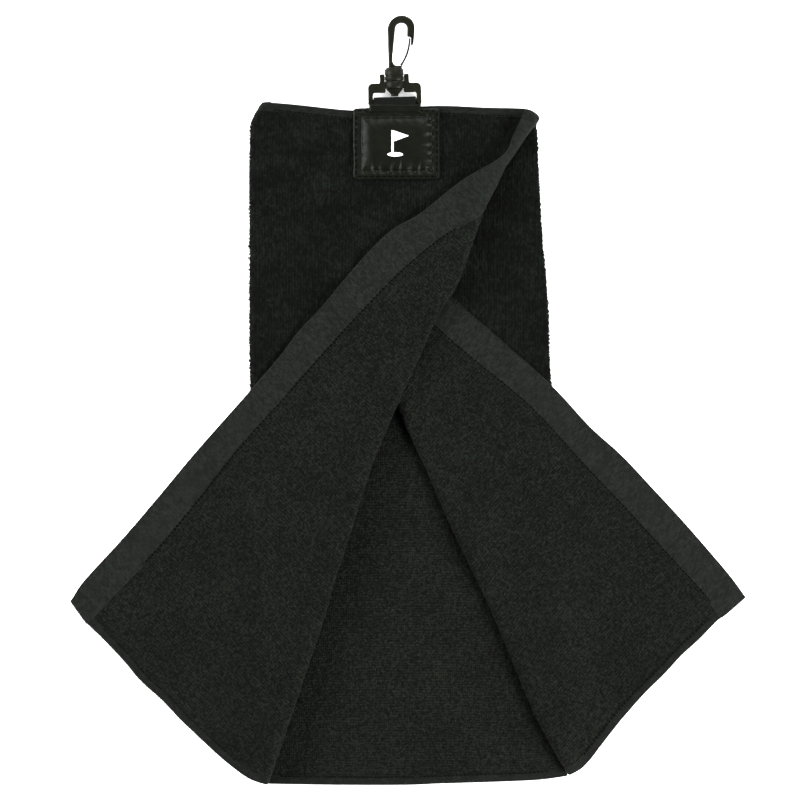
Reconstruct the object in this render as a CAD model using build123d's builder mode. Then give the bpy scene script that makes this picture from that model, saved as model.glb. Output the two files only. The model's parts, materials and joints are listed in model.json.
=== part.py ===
"""Golf towel: a towel folded lengthwise in three, with the lower half of each side flap
turned out, a padded patch at its top edge and a plastic swivel snap hook on a webbing loop.

Millimetres, +Z up. The towel lies on its back: the origin is at the centre of the back
panel's underside and +Y runs towards the hook.
"""

from build123d import *

import math
import os

os.makedirs("parts", exist_ok=True)

# ---- driving dimensions: towel cloth ----
cloth_thickness = 2.2
left_side = 398.0
right_side = 390.0
top_width = 171.0
bottom_width = 178.0
top_shift = -8.4
bottom_shift = 5.2
left_flap_width = 157.4
left_flap_edge = 400.0
right_flap_width = 146.0
right_flap_edge = 408.0
flap_gap = 0.3
drape_run = 24.0
band_width = 18.5
band_thickness = 1.2
hem_width = 5.0
seam_width = 0.7
seam_height = 0.3
seam_inset = 0.8
nose_share = 0.47

# ---- driving dimensions: patch ----
patch_x = -8.0
patch_width = 51.0
patch_length = 41.5
patch_top_inset = 0.4
patch_border_width = 5.2
patch_border = 2.6
patch_dome = 2.4
patch_wall = 0.8
patch_corner = 2.0
patch_tilt = 1.34
crown_share = 0.7
tongue_width = 30.0
tongue_reach = 0.7
tongue_thickness = 0.8
stitch_length = 2.8
stitch_pitch = 4.4
stitch_width = 0.6
stitch_height = 0.25
stitch_inset = 2.0
emblem_height = 13.0
emblem_width = 9.75
pole_width = 1.1
mound_width = 8.7
mound_height = 2.6
emblem_thickness = 0.2

# ---- driving dimensions: webbing loop and clip ----
webbing_width = 25.0
webbing_ply = 0.9
tail_depth = 4.5
clip_x = -8.9
clip_tilt = 2.84
edge_to_bar = 4.2
bar_radius = 1.75
bar_clearance = 0.08
throat_back_share = 0.85
throat_low_share = 0.3
rail_width = 2.85
rail_clearance = 0.3
frame_thickness = 4.4
frame_corner = 2.8
frame_end = 2.2
rail_end_share = 0.9
slot_reach = 5.3
beam_width = 5.6
ear_width = 2.7
ear_height = 5.3
barrel_radius = 5.6
boss_start = 7.7
boss_height = 4.3
collar_clearance = 0.3
collar_height = 7.9
collar_shoulder = 1.4
swivel_play = 0.2
post_radius = 2.4
post_clearance = 0.05
head_radius = 5.0
head_clearance = 0.3
head_tip_radius = 2.2
head_cone = 3.3
head_stub = 1.1
hook_thickness = 4.8
hook_outer_radius = 7.6
hook_inner_radius = 3.4
hook_centre_offset = 3.35
hook_reach = 42.8
spine_foot = 3.1
hook_base = 1.0
spine_waist = 1.1
bowl_depth = 2.2
nose_overlap = 3.8
nose_taper = 0.5
gate_thickness = 1.0
gate_width = 3.6
gate_gap = 0.25
gate_offset = 4.3
gate_lean = 4.5
gate_rise = 15.2
gate_bow = 1.2

# ---- stacking levels ----
fold_left = 2 * cloth_thickness
fold_right = cloth_thickness
right_under_level = cloth_thickness
right_turnout_level = 2 * cloth_thickness
left_under_level = 3 * cloth_thickness
stack_top = 4 * cloth_thickness
left_turnout_level = stack_top + flap_gap
prism_height = left_turnout_level + 2 * cloth_thickness
reach_everywhere = left_side + right_side


# ---- plane geometry of the folded cloth ----
def toward(start, end):
    """Unit direction from start to end."""
    length = math.dist(start, end)
    return ((end[0] - start[0]) / length, (end[1] - start[1]) / length)


def inset(line, distance):
    """The line moved to its left by distance."""
    ux, uy = toward(*line)
    return tuple((x - uy * distance, y + ux * distance) for x, y in line)


def meet(line_a, line_b):
    """Where two lines cross."""
    (ax, ay), (bx, by) = line_a[0], line_b[0]
    ux, uy = toward(*line_a)
    vx, vy = toward(*line_b)
    step = ((bx - ax) * vy - (by - ay) * vx) / (ux * vy - uy * vx)
    return (ax + ux * step, ay + uy * step)


def corners(*lines):
    """Corner points of the closed outline that the lines bound, in their order."""
    return [meet(line, lines[(i + 1) % len(lines)]) for i, line in enumerate(lines)]


def far_corner(start, end, reach_start, reach_end):
    """Third corner of a triangle, on the left of start to end, from its two free sides."""
    base = math.dist(start, end)
    along = (base**2 + reach_start**2 - reach_end**2) / (2 * base)
    out = math.sqrt(reach_start**2 - along**2)
    ux, uy = toward(start, end)
    return (start[0] + ux * along - uy * out, start[1] + uy * along + ux * out)


top_left = (top_shift - top_width / 2, left_side / 2)
top_right = (top_shift + top_width / 2, right_side / 2)
bottom_left = (bottom_shift - bottom_width / 2, -left_side / 2)
bottom_right = (bottom_shift + bottom_width / 2, -right_side / 2)

left_edge = (top_left, bottom_left)
bottom_edge = (bottom_left, bottom_right)
right_edge = (bottom_right, top_right)
top_edge = (top_right, top_left)

left_diagonal = (bottom_left, top_right)
inner_top_left = meet(inset(left_edge, fold_left + flap_gap), top_edge)
right_diagonal = (inner_top_left, bottom_right)
left_corner = far_corner(bottom_left, top_right, left_flap_width, left_flap_edge)
right_corner = far_corner(inner_top_left, bottom_right, right_flap_edge, right_flap_width)
left_free_edge = (top_right, left_corner)
left_cut = (left_corner, bottom_left)
right_free_edge = (right_corner, inner_top_left)
right_cut = (bottom_right, right_corner)


def side_plane(line):
    """Upright plane across a side edge: its x runs outwards from the edge, its y upwards."""
    ux, uy = toward(*line)
    outward = Vector(uy, -ux, 0)
    middle = ((line[0][0] + line[1][0]) / 2, (line[0][1] + line[1][1]) / 2, 0)
    return Plane(origin=middle, x_dir=outward, z_dir=outward.cross(Vector(0, 0, 1)))


left_plane = side_plane(left_edge)
right_plane = side_plane(right_edge)


def nose_edges(piece, line):
    """The two long edges of a ply that stand over a fold line."""
    along = Vector(*toward(*line), 0)
    across_line = Vector(-along.Y, along.X, 0)
    return piece.edges().filter_by(
        lambda edge: edge.geom_type == GeomType.LINE
        and edge.length > 2 * cloth_thickness
        and edge.tangent_at(0).cross(along).length < 1e-3
        and abs((edge.center() - Vector(*line[0], 0)).dot(across_line)) < 1e-2
    )


def flat_cloth(outline, level):
    """A ply that lies flat at one level."""
    with BuildPart() as piece:
        with BuildSketch(Plane.XY.offset(level)):
            with BuildLine():
                Polyline(*outline, close=True)
            make_face()
        extrude(amount=cloth_thickness)
    return piece


def folded_cloth(outline, plane, level, fold_radius):
    """A ply over the panel, joined by a half-round fold at the side edge to the ply below."""
    height = level + cloth_thickness
    inner = fold_radius - cloth_thickness
    with BuildPart() as piece:
        with BuildSketch(plane):
            with BuildLine():
                Line((-reach_everywhere, height), (-fold_radius, height))
                ThreePointArc((-fold_radius, height), (0, height / 2), (-fold_radius, 0))
                Line((-fold_radius, 0), (-fold_radius, height / 2 - inner))
                if inner > 0:
                    ThreePointArc(
                        (-fold_radius, height / 2 - inner),
                        (-fold_radius + inner, height / 2),
                        (-fold_radius, level),
                    )
                Line((-fold_radius, level), (-reach_everywhere, level))
                Line((-reach_everywhere, level), (-reach_everywhere, height))
            make_face()
        extrude(amount=reach_everywhere, both=True)
        with BuildSketch(Plane.XY):
            with BuildLine():
                Polyline(*outline, close=True)
            make_face()
        extrude(amount=prism_height, mode=Mode.INTERSECT)
    return piece


def draped_cloth(outline, plane, level, thickness, fall, nose=None):
    """A ply flat at its level over the panel, falling by fall beyond the side edge.

    Its edge over the fold line nose, if it has one, is rounded.
    """
    low, mid_x, mid_fall = level - fall, drape_run / 2, fall / 2
    with BuildPart() as piece:
        with BuildSketch(plane):
            with BuildLine():
                Line((-reach_everywhere, level), (0, level))
                TangentArc((0, level), (mid_x, level - mid_fall), tangent=(1, 0))
                TangentArc((drape_run, low), (mid_x, level - mid_fall), tangent=(-1, 0))
                Line((drape_run, low), (reach_everywhere, low))
                Line((reach_everywhere, low), (reach_everywhere, low + thickness))
                Line((reach_everywhere, low + thickness), (drape_run, low + thickness))
                TangentArc(
                    (drape_run, low + thickness),
                    (mid_x, level + thickness - mid_fall),
                    tangent=(-1, 0),
                )
                TangentArc(
                    (0, level + thickness), (mid_x, level + thickness - mid_fall), tangent=(1, 0)
                )
                Line((0, level + thickness), (-reach_everywhere, level + thickness))
                Line((-reach_everywhere, level + thickness), (-reach_everywhere, level))
            make_face()
        extrude(amount=reach_everywhere, both=True)
        with BuildSketch(Plane.XY):
            with BuildLine():
                Polyline(*outline, close=True)
            make_face()
        extrude(amount=prism_height, mode=Mode.INTERSECT)
        if nose:
            fillet(nose_edges(piece, nose), radius=nose_share * cloth_thickness)
    return piece


def save(piece, name):
    """Label a finished piece and write it to its own file."""
    piece.part.label = name
    export_step(piece.part, f"parts/{name}.step")


# ---- back panel ----
back_sides = (inset(left_edge, fold_left), inset(right_edge, fold_right))
back_panel = flat_cloth(
    corners(back_sides[0], inset(bottom_edge, hem_width), back_sides[1], inset(top_edge, hem_width)),
    0,
)
save(back_panel, "back_panel")

back_top_hem = flat_cloth(
    corners(back_sides[0], inset(top_edge, hem_width), back_sides[1], top_edge), 0
)
save(back_top_hem, "back_top_hem")

back_bottom_hem = flat_cloth(
    corners(back_sides[0], bottom_edge, back_sides[1], inset(bottom_edge, hem_width)), 0
)
save(back_bottom_hem, "back_bottom_hem")

# ---- right flap: sewn part under the left flap, and the part turned out to the right ----
right_under = folded_cloth(
    corners(right_diagonal, right_edge, inset(top_edge, hem_width)),
    right_plane,
    right_under_level,
    fold_right,
)
save(right_under, "right_flap_under")

right_top_hem = folded_cloth(
    corners(right_diagonal, inset(top_edge, hem_width), right_edge, top_edge),
    right_plane,
    right_under_level,
    fold_right,
)
save(right_top_hem, "right_top_hem")


def turnout_pieces(side, diagonal, free_edge, cut, plane, level):
    """The turned-out part of a flap: cloth, bottom hem, woven band and the band's seam."""
    band_line = inset(free_edge, band_width)
    hem_line = inset(cut, hem_width)
    nose_line = inset(diagonal, cloth_thickness / 2)
    cloth = draped_cloth(
        corners(diagonal, band_line, hem_line), plane, level, cloth_thickness, level, diagonal
    )
    save(cloth, f"{side}_flap_turnout")

    hem = draped_cloth(
        corners(nose_line, hem_line, band_line, cut), plane, level, cloth_thickness, level
    )
    save(hem, f"{side}_bottom_hem")

    band = draped_cloth(
        corners(nose_line, free_edge, cut, band_line), plane, level, band_thickness, level
    )
    save(band, f"{side}_woven_band")

    seam_lines = [inset(free_edge, band_width - seam_inset - side_step)
                  for side_step in (0, seam_width)]
    seam = draped_cloth(
        corners(seam_lines[0], inset(nose_line, hem_width), seam_lines[1], inset(cut, seam_inset)),
        plane,
        level + band_thickness,
        seam_height,
        level,
    )
    save(seam, f"{side}_band_seam")


turnout_pieces("right", right_diagonal, right_free_edge, right_cut, right_plane, right_turnout_level)

# ---- left flap: sewn part on top, and the part turned out to the left ----
left_under = folded_cloth(
    corners(left_edge, left_diagonal, inset(top_edge, hem_width)),
    left_plane,
    left_under_level,
    fold_left,
)
save(left_under, "left_flap_under")

left_top_hem = folded_cloth(
    corners(left_edge, inset(top_edge, hem_width), left_diagonal, top_edge),
    left_plane,
    left_under_level,
    fold_left,
)
save(left_top_hem, "left_top_hem")

turnout_pieces("left", left_diagonal, left_free_edge, left_cut, left_plane, left_turnout_level)

# ---- clip axes: u runs from the bar towards the hook, v upwards ----
edge_slope = (top_right[1] - top_left[1]) / (top_right[0] - top_left[0])
edge_angle = math.degrees(math.atan(edge_slope))
edge_y = top_left[1] + (clip_x - top_left[0]) * edge_slope
bar_y = edge_y + edge_to_bar
tilt = math.radians(edge_angle + clip_tilt)
across = Vector(math.cos(tilt), math.sin(tilt), 0)
bar_centre = Vector(clip_x, bar_y, barrel_radius)
clip_plane = Plane(origin=bar_centre, x_dir=across, z_dir=(0, 0, 1))
loop_plane = Plane(origin=bar_centre, x_dir=clip_plane.y_dir, z_dir=across)
swivel_axis = Axis(bar_centre, clip_plane.y_dir)

# ---- webbing loop: ring round the bar, doubled tail under the patch ----
tail_thickness = 2 * webbing_ply
ring_inner = bar_radius + bar_clearance
ring_outer = ring_inner + webbing_ply
tail_low = stack_top - barrel_radius
tail_end = edge_to_bar + tail_depth
with BuildPart() as webbing_loop:
    with BuildSketch(loop_plane):
        Circle(ring_outer)
        with BuildLine():
            Polyline(
                (-tail_end, tail_low),
                (-ring_outer - flap_gap, tail_low),
                (-throat_back_share * ring_outer, -throat_low_share * ring_outer),
                (0, 0),
                (0, ring_outer),
                (-edge_to_bar, tail_low + tail_thickness),
                (-tail_end, tail_low + tail_thickness),
                close=True,
            )
        make_face()
        Circle(ring_inner, mode=Mode.SUBTRACT)
    extrude(amount=webbing_width / 2, both=True)
save(webbing_loop, "webbing_loop")

# ---- patch: cover, pad, stitches, emblem ----
patch_turn = math.radians(edge_angle + patch_tilt)
patch_plane = Plane(
    origin=(patch_x, edge_y - patch_top_inset - patch_length / 2, stack_top),
    x_dir=(math.cos(patch_turn), math.sin(patch_turn), 0),
    z_dir=(0, 0, 1),
)
dome_width = patch_width - 2 * patch_border_width
dome_length = patch_length - 2 * patch_border_width
pad_width = dome_width - 2 * patch_wall
pad_length = dome_length - 2 * patch_wall
pad_height = patch_border + patch_dome - patch_wall

with BuildPart() as patch_cover:
    with BuildSketch(patch_plane):
        RectangleRounded(patch_width, patch_length, patch_corner)
    extrude(amount=patch_border)
    with BuildSketch(patch_plane.offset(patch_border)):
        RectangleRounded(dome_width, dome_length, 2 * patch_corner)
    extrude(amount=patch_dome)
    crown = patch_cover.faces().sort_by(Axis.Z)[-1].edges()
    fillet(crown, radius=crown_share * patch_dome)
    with BuildSketch(patch_plane.offset(tail_thickness)):
        with Locations((clip_x - patch_x, patch_length / 2)):
            Rectangle(tongue_width, 2 * (patch_top_inset + tongue_reach))
    extrude(amount=tongue_thickness)
    with BuildSketch(patch_plane):
        RectangleRounded(pad_width, pad_length, patch_corner)
    extrude(amount=pad_height, mode=Mode.SUBTRACT)
    with BuildSketch(loop_plane):
        with Locations((-tail_end, tail_low)):
            Rectangle(
                2 * tail_depth + edge_to_bar, tail_thickness, align=(Align.MIN, Align.MIN)
            )
    extrude(amount=webbing_width / 2 + bar_clearance, both=True, mode=Mode.SUBTRACT)
save(patch_cover, "patch_cover")

with BuildPart() as patch_pad:
    with BuildSketch(patch_plane):
        RectangleRounded(pad_width, pad_length, patch_corner)
    extrude(amount=pad_height)
save(patch_pad, "patch_pad")


def stitch_spots(length):
    """Places of the stitches along one side of the patch, from its middle."""
    count = int((length - 2 * stitch_inset - stitch_length) / stitch_pitch) + 1
    return [(i - (count - 1) / 2) * stitch_pitch for i in range(count)]


with BuildPart() as patch_stitching:
    with BuildSketch(patch_plane.offset(patch_border)):
        for side in (-1, 1):
            row = side * (patch_length / 2 - stitch_inset)
            with Locations(*[(x, row) for x in stitch_spots(patch_width)]):
                SlotOverall(stitch_length, stitch_width)
            column = side * (patch_width / 2 - stitch_inset)
            inner_spots = stitch_spots(patch_length - 2 * stitch_pitch)
            with Locations(*[(column, y) for y in inner_spots]):
                SlotOverall(stitch_length, stitch_width, rotation=90)
    extrude(amount=stitch_height)
save(patch_stitching, "patch_stitching")

emblem_plane = patch_plane.offset(patch_border + patch_dome)
pole_x = -emblem_width / 3
flag_height = emblem_height / 2
with BuildPart() as patch_emblem:
    with BuildSketch(emblem_plane):
        with Locations((pole_x, 0)):
            Rectangle(pole_width, emblem_height)
        with BuildLine():
            Polyline(
                (pole_x, emblem_height / 2),
                (pole_x + emblem_width, flag_height / 2),
                (pole_x, emblem_height / 2 - flag_height),
                close=True,
            )
        make_face()
        with Locations((pole_x, -emblem_height / 2)):
            Ellipse(mound_width / 2, mound_height / 2)
    extrude(amount=emblem_thickness)
save(patch_emblem, "patch_emblem")

# ---- clip frame: bar, rails, beam, ears and boss ----
slot_half = webbing_width / 2 + rail_clearance
frame_half = slot_half + rail_width
beam_top = slot_reach + beam_width
ear_inner = barrel_radius + collar_clearance
boss_top = boss_start + boss_height

with BuildPart() as clip_frame:
    with BuildSketch(clip_plane):
        with BuildLine():
            Polyline(
                (-frame_half, -frame_end),
                (-slot_half, -frame_end),
                (-slot_half, slot_reach),
                (slot_half, slot_reach),
                (slot_half, -frame_end),
                (frame_half, -frame_end),
                (frame_half, beam_top),
                (-frame_half, beam_top),
                close=True,
            )
        make_face()
        top_corners = [v for v in vertices() if abs(abs(v.X) - frame_half) < 1e-6 and v.Y > 0]
        fillet(top_corners, radius=frame_corner)
        with Locations((0, beam_top)):
            Rectangle(2 * (ear_inner + ear_width), 2 * ear_height)
    extrude(amount=frame_thickness / 2, both=True)
    with BuildSketch(clip_plane):
        with Locations((0, slot_reach)):
            Rectangle(2 * slot_half, 2 * beam_width, align=(Align.CENTER, Align.MAX))
    extrude(amount=frame_thickness, both=True, mode=Mode.SUBTRACT)
    rail_ends = clip_frame.edges().filter_by(
        lambda edge: abs(clip_plane.to_local_coords(edge.center()).Y + frame_end) < 1e-3
        and abs(abs(clip_plane.to_local_coords(edge.center()).Z) - frame_thickness / 2) < 1e-3
    )
    fillet(rail_ends, radius=rail_end_share * frame_end)
    with BuildSketch(clip_plane):
        with Locations((0, boss_start)):
            Rectangle(barrel_radius, boss_height, align=(Align.MIN, Align.MIN))
    revolve(axis=swivel_axis)
    with BuildSketch(clip_plane):
        with Locations((0, slot_reach - beam_width)):
            Rectangle(
                head_radius + head_clearance,
                boss_start - slot_reach + beam_width,
                align=(Align.MIN, Align.MIN),
            )
        with Locations((0, boss_top)):
            Rectangle(ear_inner, boss_height + ear_height, align=(Align.MIN, Align.MIN))
        Rectangle(post_radius + post_clearance, 2 * boss_top, align=(Align.MIN, Align.MIN))
    revolve(axis=swivel_axis, mode=Mode.SUBTRACT)
    with BuildSketch(loop_plane):
        Circle(bar_radius)
    extrude(amount=slot_half, both=True)
save(clip_frame, "clip_frame")

# ---- snap hook: collar, post and snap head turn in the boss; spine, eye and nose above ----
collar_start = boss_top + swivel_play
collar_top = collar_start + collar_height
head_start = boss_start - swivel_play
cone_end = head_start - head_cone
base_top = collar_top + hook_base
hook_right = hook_centre_offset + hook_outer_radius
hook_left = hook_centre_offset - hook_outer_radius
eye_right = hook_centre_offset + hook_inner_radius
eye_left = hook_centre_offset - hook_inner_radius
gate_root = (gate_offset, base_top + gate_gap + gate_thickness / 2)
gate_tip = (gate_offset + gate_lean, gate_root[1] + gate_rise)
gate_mid = (gate_offset + gate_lean / 2 + gate_bow, gate_root[1] + gate_rise / 2 - gate_bow / 2)
catch_low = gate_tip[1] + gate_thickness / 2 + 2 * gate_gap
nose_inner = gate_tip[0] + gate_thickness / 2 + gate_gap
nose_low = gate_tip[1] - nose_overlap

with BuildPart() as hook_body:
    with BuildSketch(clip_plane):
        with BuildLine():
            Polyline(
                (0, cone_end - head_stub),
                (head_tip_radius, cone_end - head_stub),
                (head_tip_radius, cone_end),
                (head_radius, head_start),
                (post_radius, head_start),
                (post_radius, collar_start),
                (barrel_radius, collar_start),
                (barrel_radius, collar_top - collar_shoulder),
                (barrel_radius - collar_shoulder, collar_top),
                (0, collar_top),
                close=True,
            )
        make_face()
    revolve(axis=swivel_axis)
    with BuildSketch(clip_plane):
        with BuildLine():
            Line((-spine_foot, base_top), (hook_left, hook_reach))
            ThreePointArc(
                (hook_left, hook_reach),
                (hook_centre_offset, hook_reach + hook_outer_radius),
                (hook_right, hook_reach),
            )
            Polyline(
                (hook_right, hook_reach),
                (hook_right - nose_taper, nose_low),
                (nose_inner + nose_taper, nose_low),
                (nose_inner, gate_tip[1]),
                (nose_inner, catch_low - gate_gap),
                (eye_right, catch_low),
                (eye_right, hook_reach),
            )
            ThreePointArc(
                (eye_right, hook_reach),
                (hook_centre_offset, hook_reach + hook_inner_radius),
                (eye_left, hook_reach),
            )
            Line((eye_left, hook_reach), (-spine_waist, base_top + bowl_depth))
            TangentArc(
                (gate_offset - bowl_depth, base_top),
                (-spine_waist, base_top + bowl_depth),
                tangent=(-1, 0),
            )
            Polyline(
                (gate_offset - bowl_depth, base_top),
                (gate_offset + gate_thickness / 2, base_top),
                (gate_offset + gate_thickness / 2, base_top - hook_base),
                (-spine_foot, base_top - hook_base),
                (-spine_foot, base_top),
            )
        make_face()
    extrude(amount=hook_thickness / 2, both=True)
save(hook_body, "hook_body")

# ---- gate: thin springy leaf, rounded at its root, closing against the hook's nose ----
with BuildPart() as hook_gate:
    with BuildSketch(clip_plane):
        with BuildLine(mode=Mode.PRIVATE):
            gate_line = ThreePointArc(gate_root, gate_mid, gate_tip)
        SlotArc(gate_line, gate_thickness)
    extrude(amount=gate_width / 2, both=True)
save(hook_gate, "hook_gate")
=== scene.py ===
"""Looks of the golf towel: terry and ribbed velour cloth laid in folds, woven bands, rolled hems,
a padded leatherette patch and a moulded swivel clip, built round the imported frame.

Sizes are in millimetres and become metres when a mesh is written. +Y runs towards the hook,
+Z up from the surface that the towel lies on.
"""

import json
import logging
import math
from dataclasses import dataclass, field
from enum import Enum
from typing import Callable, Sequence

import bpy
import numpy as np
from mathutils import Matrix, Vector
from mathutils.geometry import delaunay_2d_cdt


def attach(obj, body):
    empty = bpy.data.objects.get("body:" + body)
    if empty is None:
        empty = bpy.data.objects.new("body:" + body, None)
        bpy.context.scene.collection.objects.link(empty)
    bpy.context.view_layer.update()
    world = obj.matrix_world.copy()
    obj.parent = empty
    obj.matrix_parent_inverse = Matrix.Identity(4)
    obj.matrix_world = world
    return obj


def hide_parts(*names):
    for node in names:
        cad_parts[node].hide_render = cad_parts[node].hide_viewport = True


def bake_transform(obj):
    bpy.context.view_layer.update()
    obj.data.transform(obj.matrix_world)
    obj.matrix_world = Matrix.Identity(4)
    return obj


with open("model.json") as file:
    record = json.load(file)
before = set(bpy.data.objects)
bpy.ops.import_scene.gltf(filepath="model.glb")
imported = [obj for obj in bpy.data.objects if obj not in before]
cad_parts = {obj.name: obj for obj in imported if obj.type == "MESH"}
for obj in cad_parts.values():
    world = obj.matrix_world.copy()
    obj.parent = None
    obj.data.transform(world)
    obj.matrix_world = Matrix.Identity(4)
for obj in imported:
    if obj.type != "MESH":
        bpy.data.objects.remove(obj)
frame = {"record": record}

LOG = logging.getLogger("golf_towel")
MM = 0.001
FAR = 600.0  # keeps weave coordinates above zero where unevenness is read
Array = np.ndarray
Object = bpy.types.Object
Socket = bpy.types.NodeSocket
Point = tuple[float, float]
Triple = tuple[float, float, float]
FlatMap = Callable[[Array], Array]  # from flat places to places in space, weave coordinates or heights
Thickness = Callable[[Array, Array], Array]  # from flat places and their distance from the rim


# ---------------------------------------------------------------- curves and random unevenness


def unit(vectors: Array) -> Array:
    """Vectors, one or a row each, scaled to length 1."""
    return vectors / np.maximum(np.linalg.norm(vectors, axis=-1, keepdims=True), 1e-9)


def distances(run: Array) -> Array:
    """Distance along a run of each of its places."""
    return np.concatenate([[0], np.cumsum(np.linalg.norm(np.diff(run, axis=0), axis=1))])


def spots_at(run: Array, at: Array) -> Array:
    """Places of a run at distances along it."""
    along = distances(run)
    return np.column_stack([np.interp(at, along, run[:, k]) for k in range(2)])


def evenly(run: Array, step: float) -> Array:
    """A run with even spacing, ends kept."""
    length = distances(run)[-1]
    return spots_at(run, np.linspace(0, length, max(2, int(round(length / step)) + 1)))


def winding(outline: Array) -> float:
    """1 for a closed outline that runs anticlockwise, -1 for a clockwise one."""
    ahead = np.roll(outline, -1, axis=0)
    return math.copysign(1, float(np.sum(outline[:, 0] * ahead[:, 1] - outline[:, 1] * ahead[:, 0])))


def smooth_run(points: Sequence[Point], step: float) -> Array:
    """Runs a smooth line through given points.

    Args:
        points: The places that the line passes.
        step: Spacing of the places that come back.

    Returns:
        Evenly spaced places along the line, ends included.
    """
    p = np.array(points, float)
    if len(p) > 2:
        padded = np.vstack([2 * p[0] - p[1], p, 2 * p[-1] - p[-2]])
        fine = []
        for i in range(1, len(padded) - 2):
            a, b, c, d = padded[i - 1 : i + 3]
            t = np.linspace(0, 1, 24, endpoint=False)[:, None]
            bend = (2 * a - 5 * b + 4 * c - d) * t**2 + (3 * b - a - 3 * c + d) * t**3
            fine.append(0.5 * (2 * b + (c - a) * t + bend))
        p = np.vstack([*fine, p[-1:]])
    return evenly(p, step)


def closed(*runs: Array) -> Array:
    """Joins edge runs into one closed outline, without the repeated corner places."""
    return np.vstack([run[:-1] for run in runs])


def moved(run: Array, by: float | Array) -> Array:
    """A run moved to its right by a distance, or by one for each place."""
    along = unit(np.gradient(run, axis=0))
    return run + by * np.column_stack([along[:, 1], -along[:, 0]])


def extended(run: Array, by: float) -> Array:
    """A run made longer, straight on, at both ends."""
    first, last = unit(run[0] - run[2]), unit(run[-1] - run[-3])
    return np.vstack([run[0] + first * by, run, run[-1] + last * by])


def crossing(a: Array, b: Array) -> tuple[int, int, Array]:
    """Finds where two runs cross.

    Args:
        a: First run.
        b: Second run.

    Returns:
        The piece of each run that the crossing is on, and its place.
    """
    p, r, q, s = a[:-1], np.diff(a, axis=0), b[:-1], np.diff(b, axis=0)
    gap = q[None] - p[:, None]
    turn = r[:, None, 0] * s[None, :, 1] - r[:, None, 1] * s[None, :, 0]
    turn = np.where(np.abs(turn) < 1e-12, 1e-12, turn)
    t = (gap[..., 0] * s[None, :, 1] - gap[..., 1] * s[None, :, 0]) / turn
    u = (gap[..., 0] * r[:, None, 1] - gap[..., 1] * r[:, None, 0]) / turn
    hits = np.argwhere((t >= 0) & (t <= 1) & (u >= 0) & (u <= 1))
    if not len(hits):
        raise ValueError(f"runs from {a[0]} to {a[-1]} and from {b[0]} to {b[-1]} don't cross")
    i, j = hits[0]
    return int(i), int(j), p[i] + t[i, j] * r[i]


def ring(step: float, *runs: Array) -> Array:
    """Closes an outline from runs that cross one after another, cutting off their spare ends.

    Args:
        step: Spacing of the outline's places.
        runs: The runs, in order round the outline, each in either direction.

    Returns:
        The closed outline.
    """
    count = len(runs)
    corners = [crossing(runs[i], runs[(i + 1) % count]) for i in range(count)]
    sides = []
    for i, run in enumerate(runs):
        _, enters, start = corners[i - 1]
        leaves, _, end = corners[i]
        ahead = enters <= leaves
        between = run[enters + 1 : leaves + 1] if ahead else run[leaves + 1 : enters + 1][::-1]
        side = np.vstack([start, between, end])
        keep = np.concatenate([[True], np.linalg.norm(np.diff(side, axis=0), axis=1) > 1e-3])
        sides.append(evenly(side[keep], step)[:-1])
    return np.vstack(sides)


def ring_points(corners: Array, step: float) -> Array:
    """A closed outline through corners, evenly spaced between them."""
    sides = [evenly(np.vstack([a, b]), step)[:-1] for a, b in zip(corners, np.roll(corners, -1, axis=0))]
    return np.vstack(sides)


def grid(across: Array, along: Array) -> tuple[Array, Array]:
    """Places across and along of a grid, rows across first."""
    x, y = np.meshgrid(across, along, indexing="ij")
    return x.ravel(), y.ravel()


def inside(outline: Array, places: Array) -> Array:
    """Finds which places lie inside a closed outline.

    Args:
        outline: Corners of the outline.
        places: Places to test.

    Returns:
        True for each place inside.
    """
    x, y = places[:, 0], places[:, 1]
    found = np.zeros(len(places), bool)
    for (ax, ay), (bx, by) in zip(outline, np.roll(outline, -1, axis=0)):
        if ay != by:
            found ^= ((ay > y) != (by > y)) & (x < (bx - ax) * (y - ay) / (by - ay) + ax)
    return found


def edge_distance(outline: Array, places: Array) -> Array:
    """Distance of each place from the nearest place of an outline."""
    best = np.full(len(places), 1e9)
    for start in range(0, len(outline), 64):
        part = outline[start : start + 64]
        d = np.linalg.norm(places[:, None, :] - part[None, :, :], axis=2).min(axis=1)
        best = np.minimum(best, d)
    return best


@dataclass(frozen=True)
class Unevenness:
    """Smooth random highs and lows, from -1 to 1, the same on every run."""

    seed: int
    size: float
    cells: int = 96

    def at(self, x: Array, y: Array) -> Array:
        """Value at each place.

        Args:
            x: Places across.
            y: Places along.

        Returns:
            Values from -1 to 1.
        """
        lattice = np.random.default_rng(self.seed).uniform(-1, 1, (self.cells, self.cells))
        u, v = np.asarray(x) / self.size, np.asarray(y) / self.size
        i, j = np.floor(u).astype(int), np.floor(v).astype(int)
        s, t = u - i, v - j
        s, t = s * s * (3 - 2 * s), t * t * (3 - 2 * t)
        i0, i1, j0, j1 = (k % self.cells for k in (i, i + 1, j, j + 1))
        low = lattice[i0, j0] * (1 - s) + lattice[i1, j0] * s
        high = lattice[i0, j1] * (1 - s) + lattice[i1, j1] * s
        return low * (1 - t) + high * t


# ---------------------------------------------------------------- how the towel is laid


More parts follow.
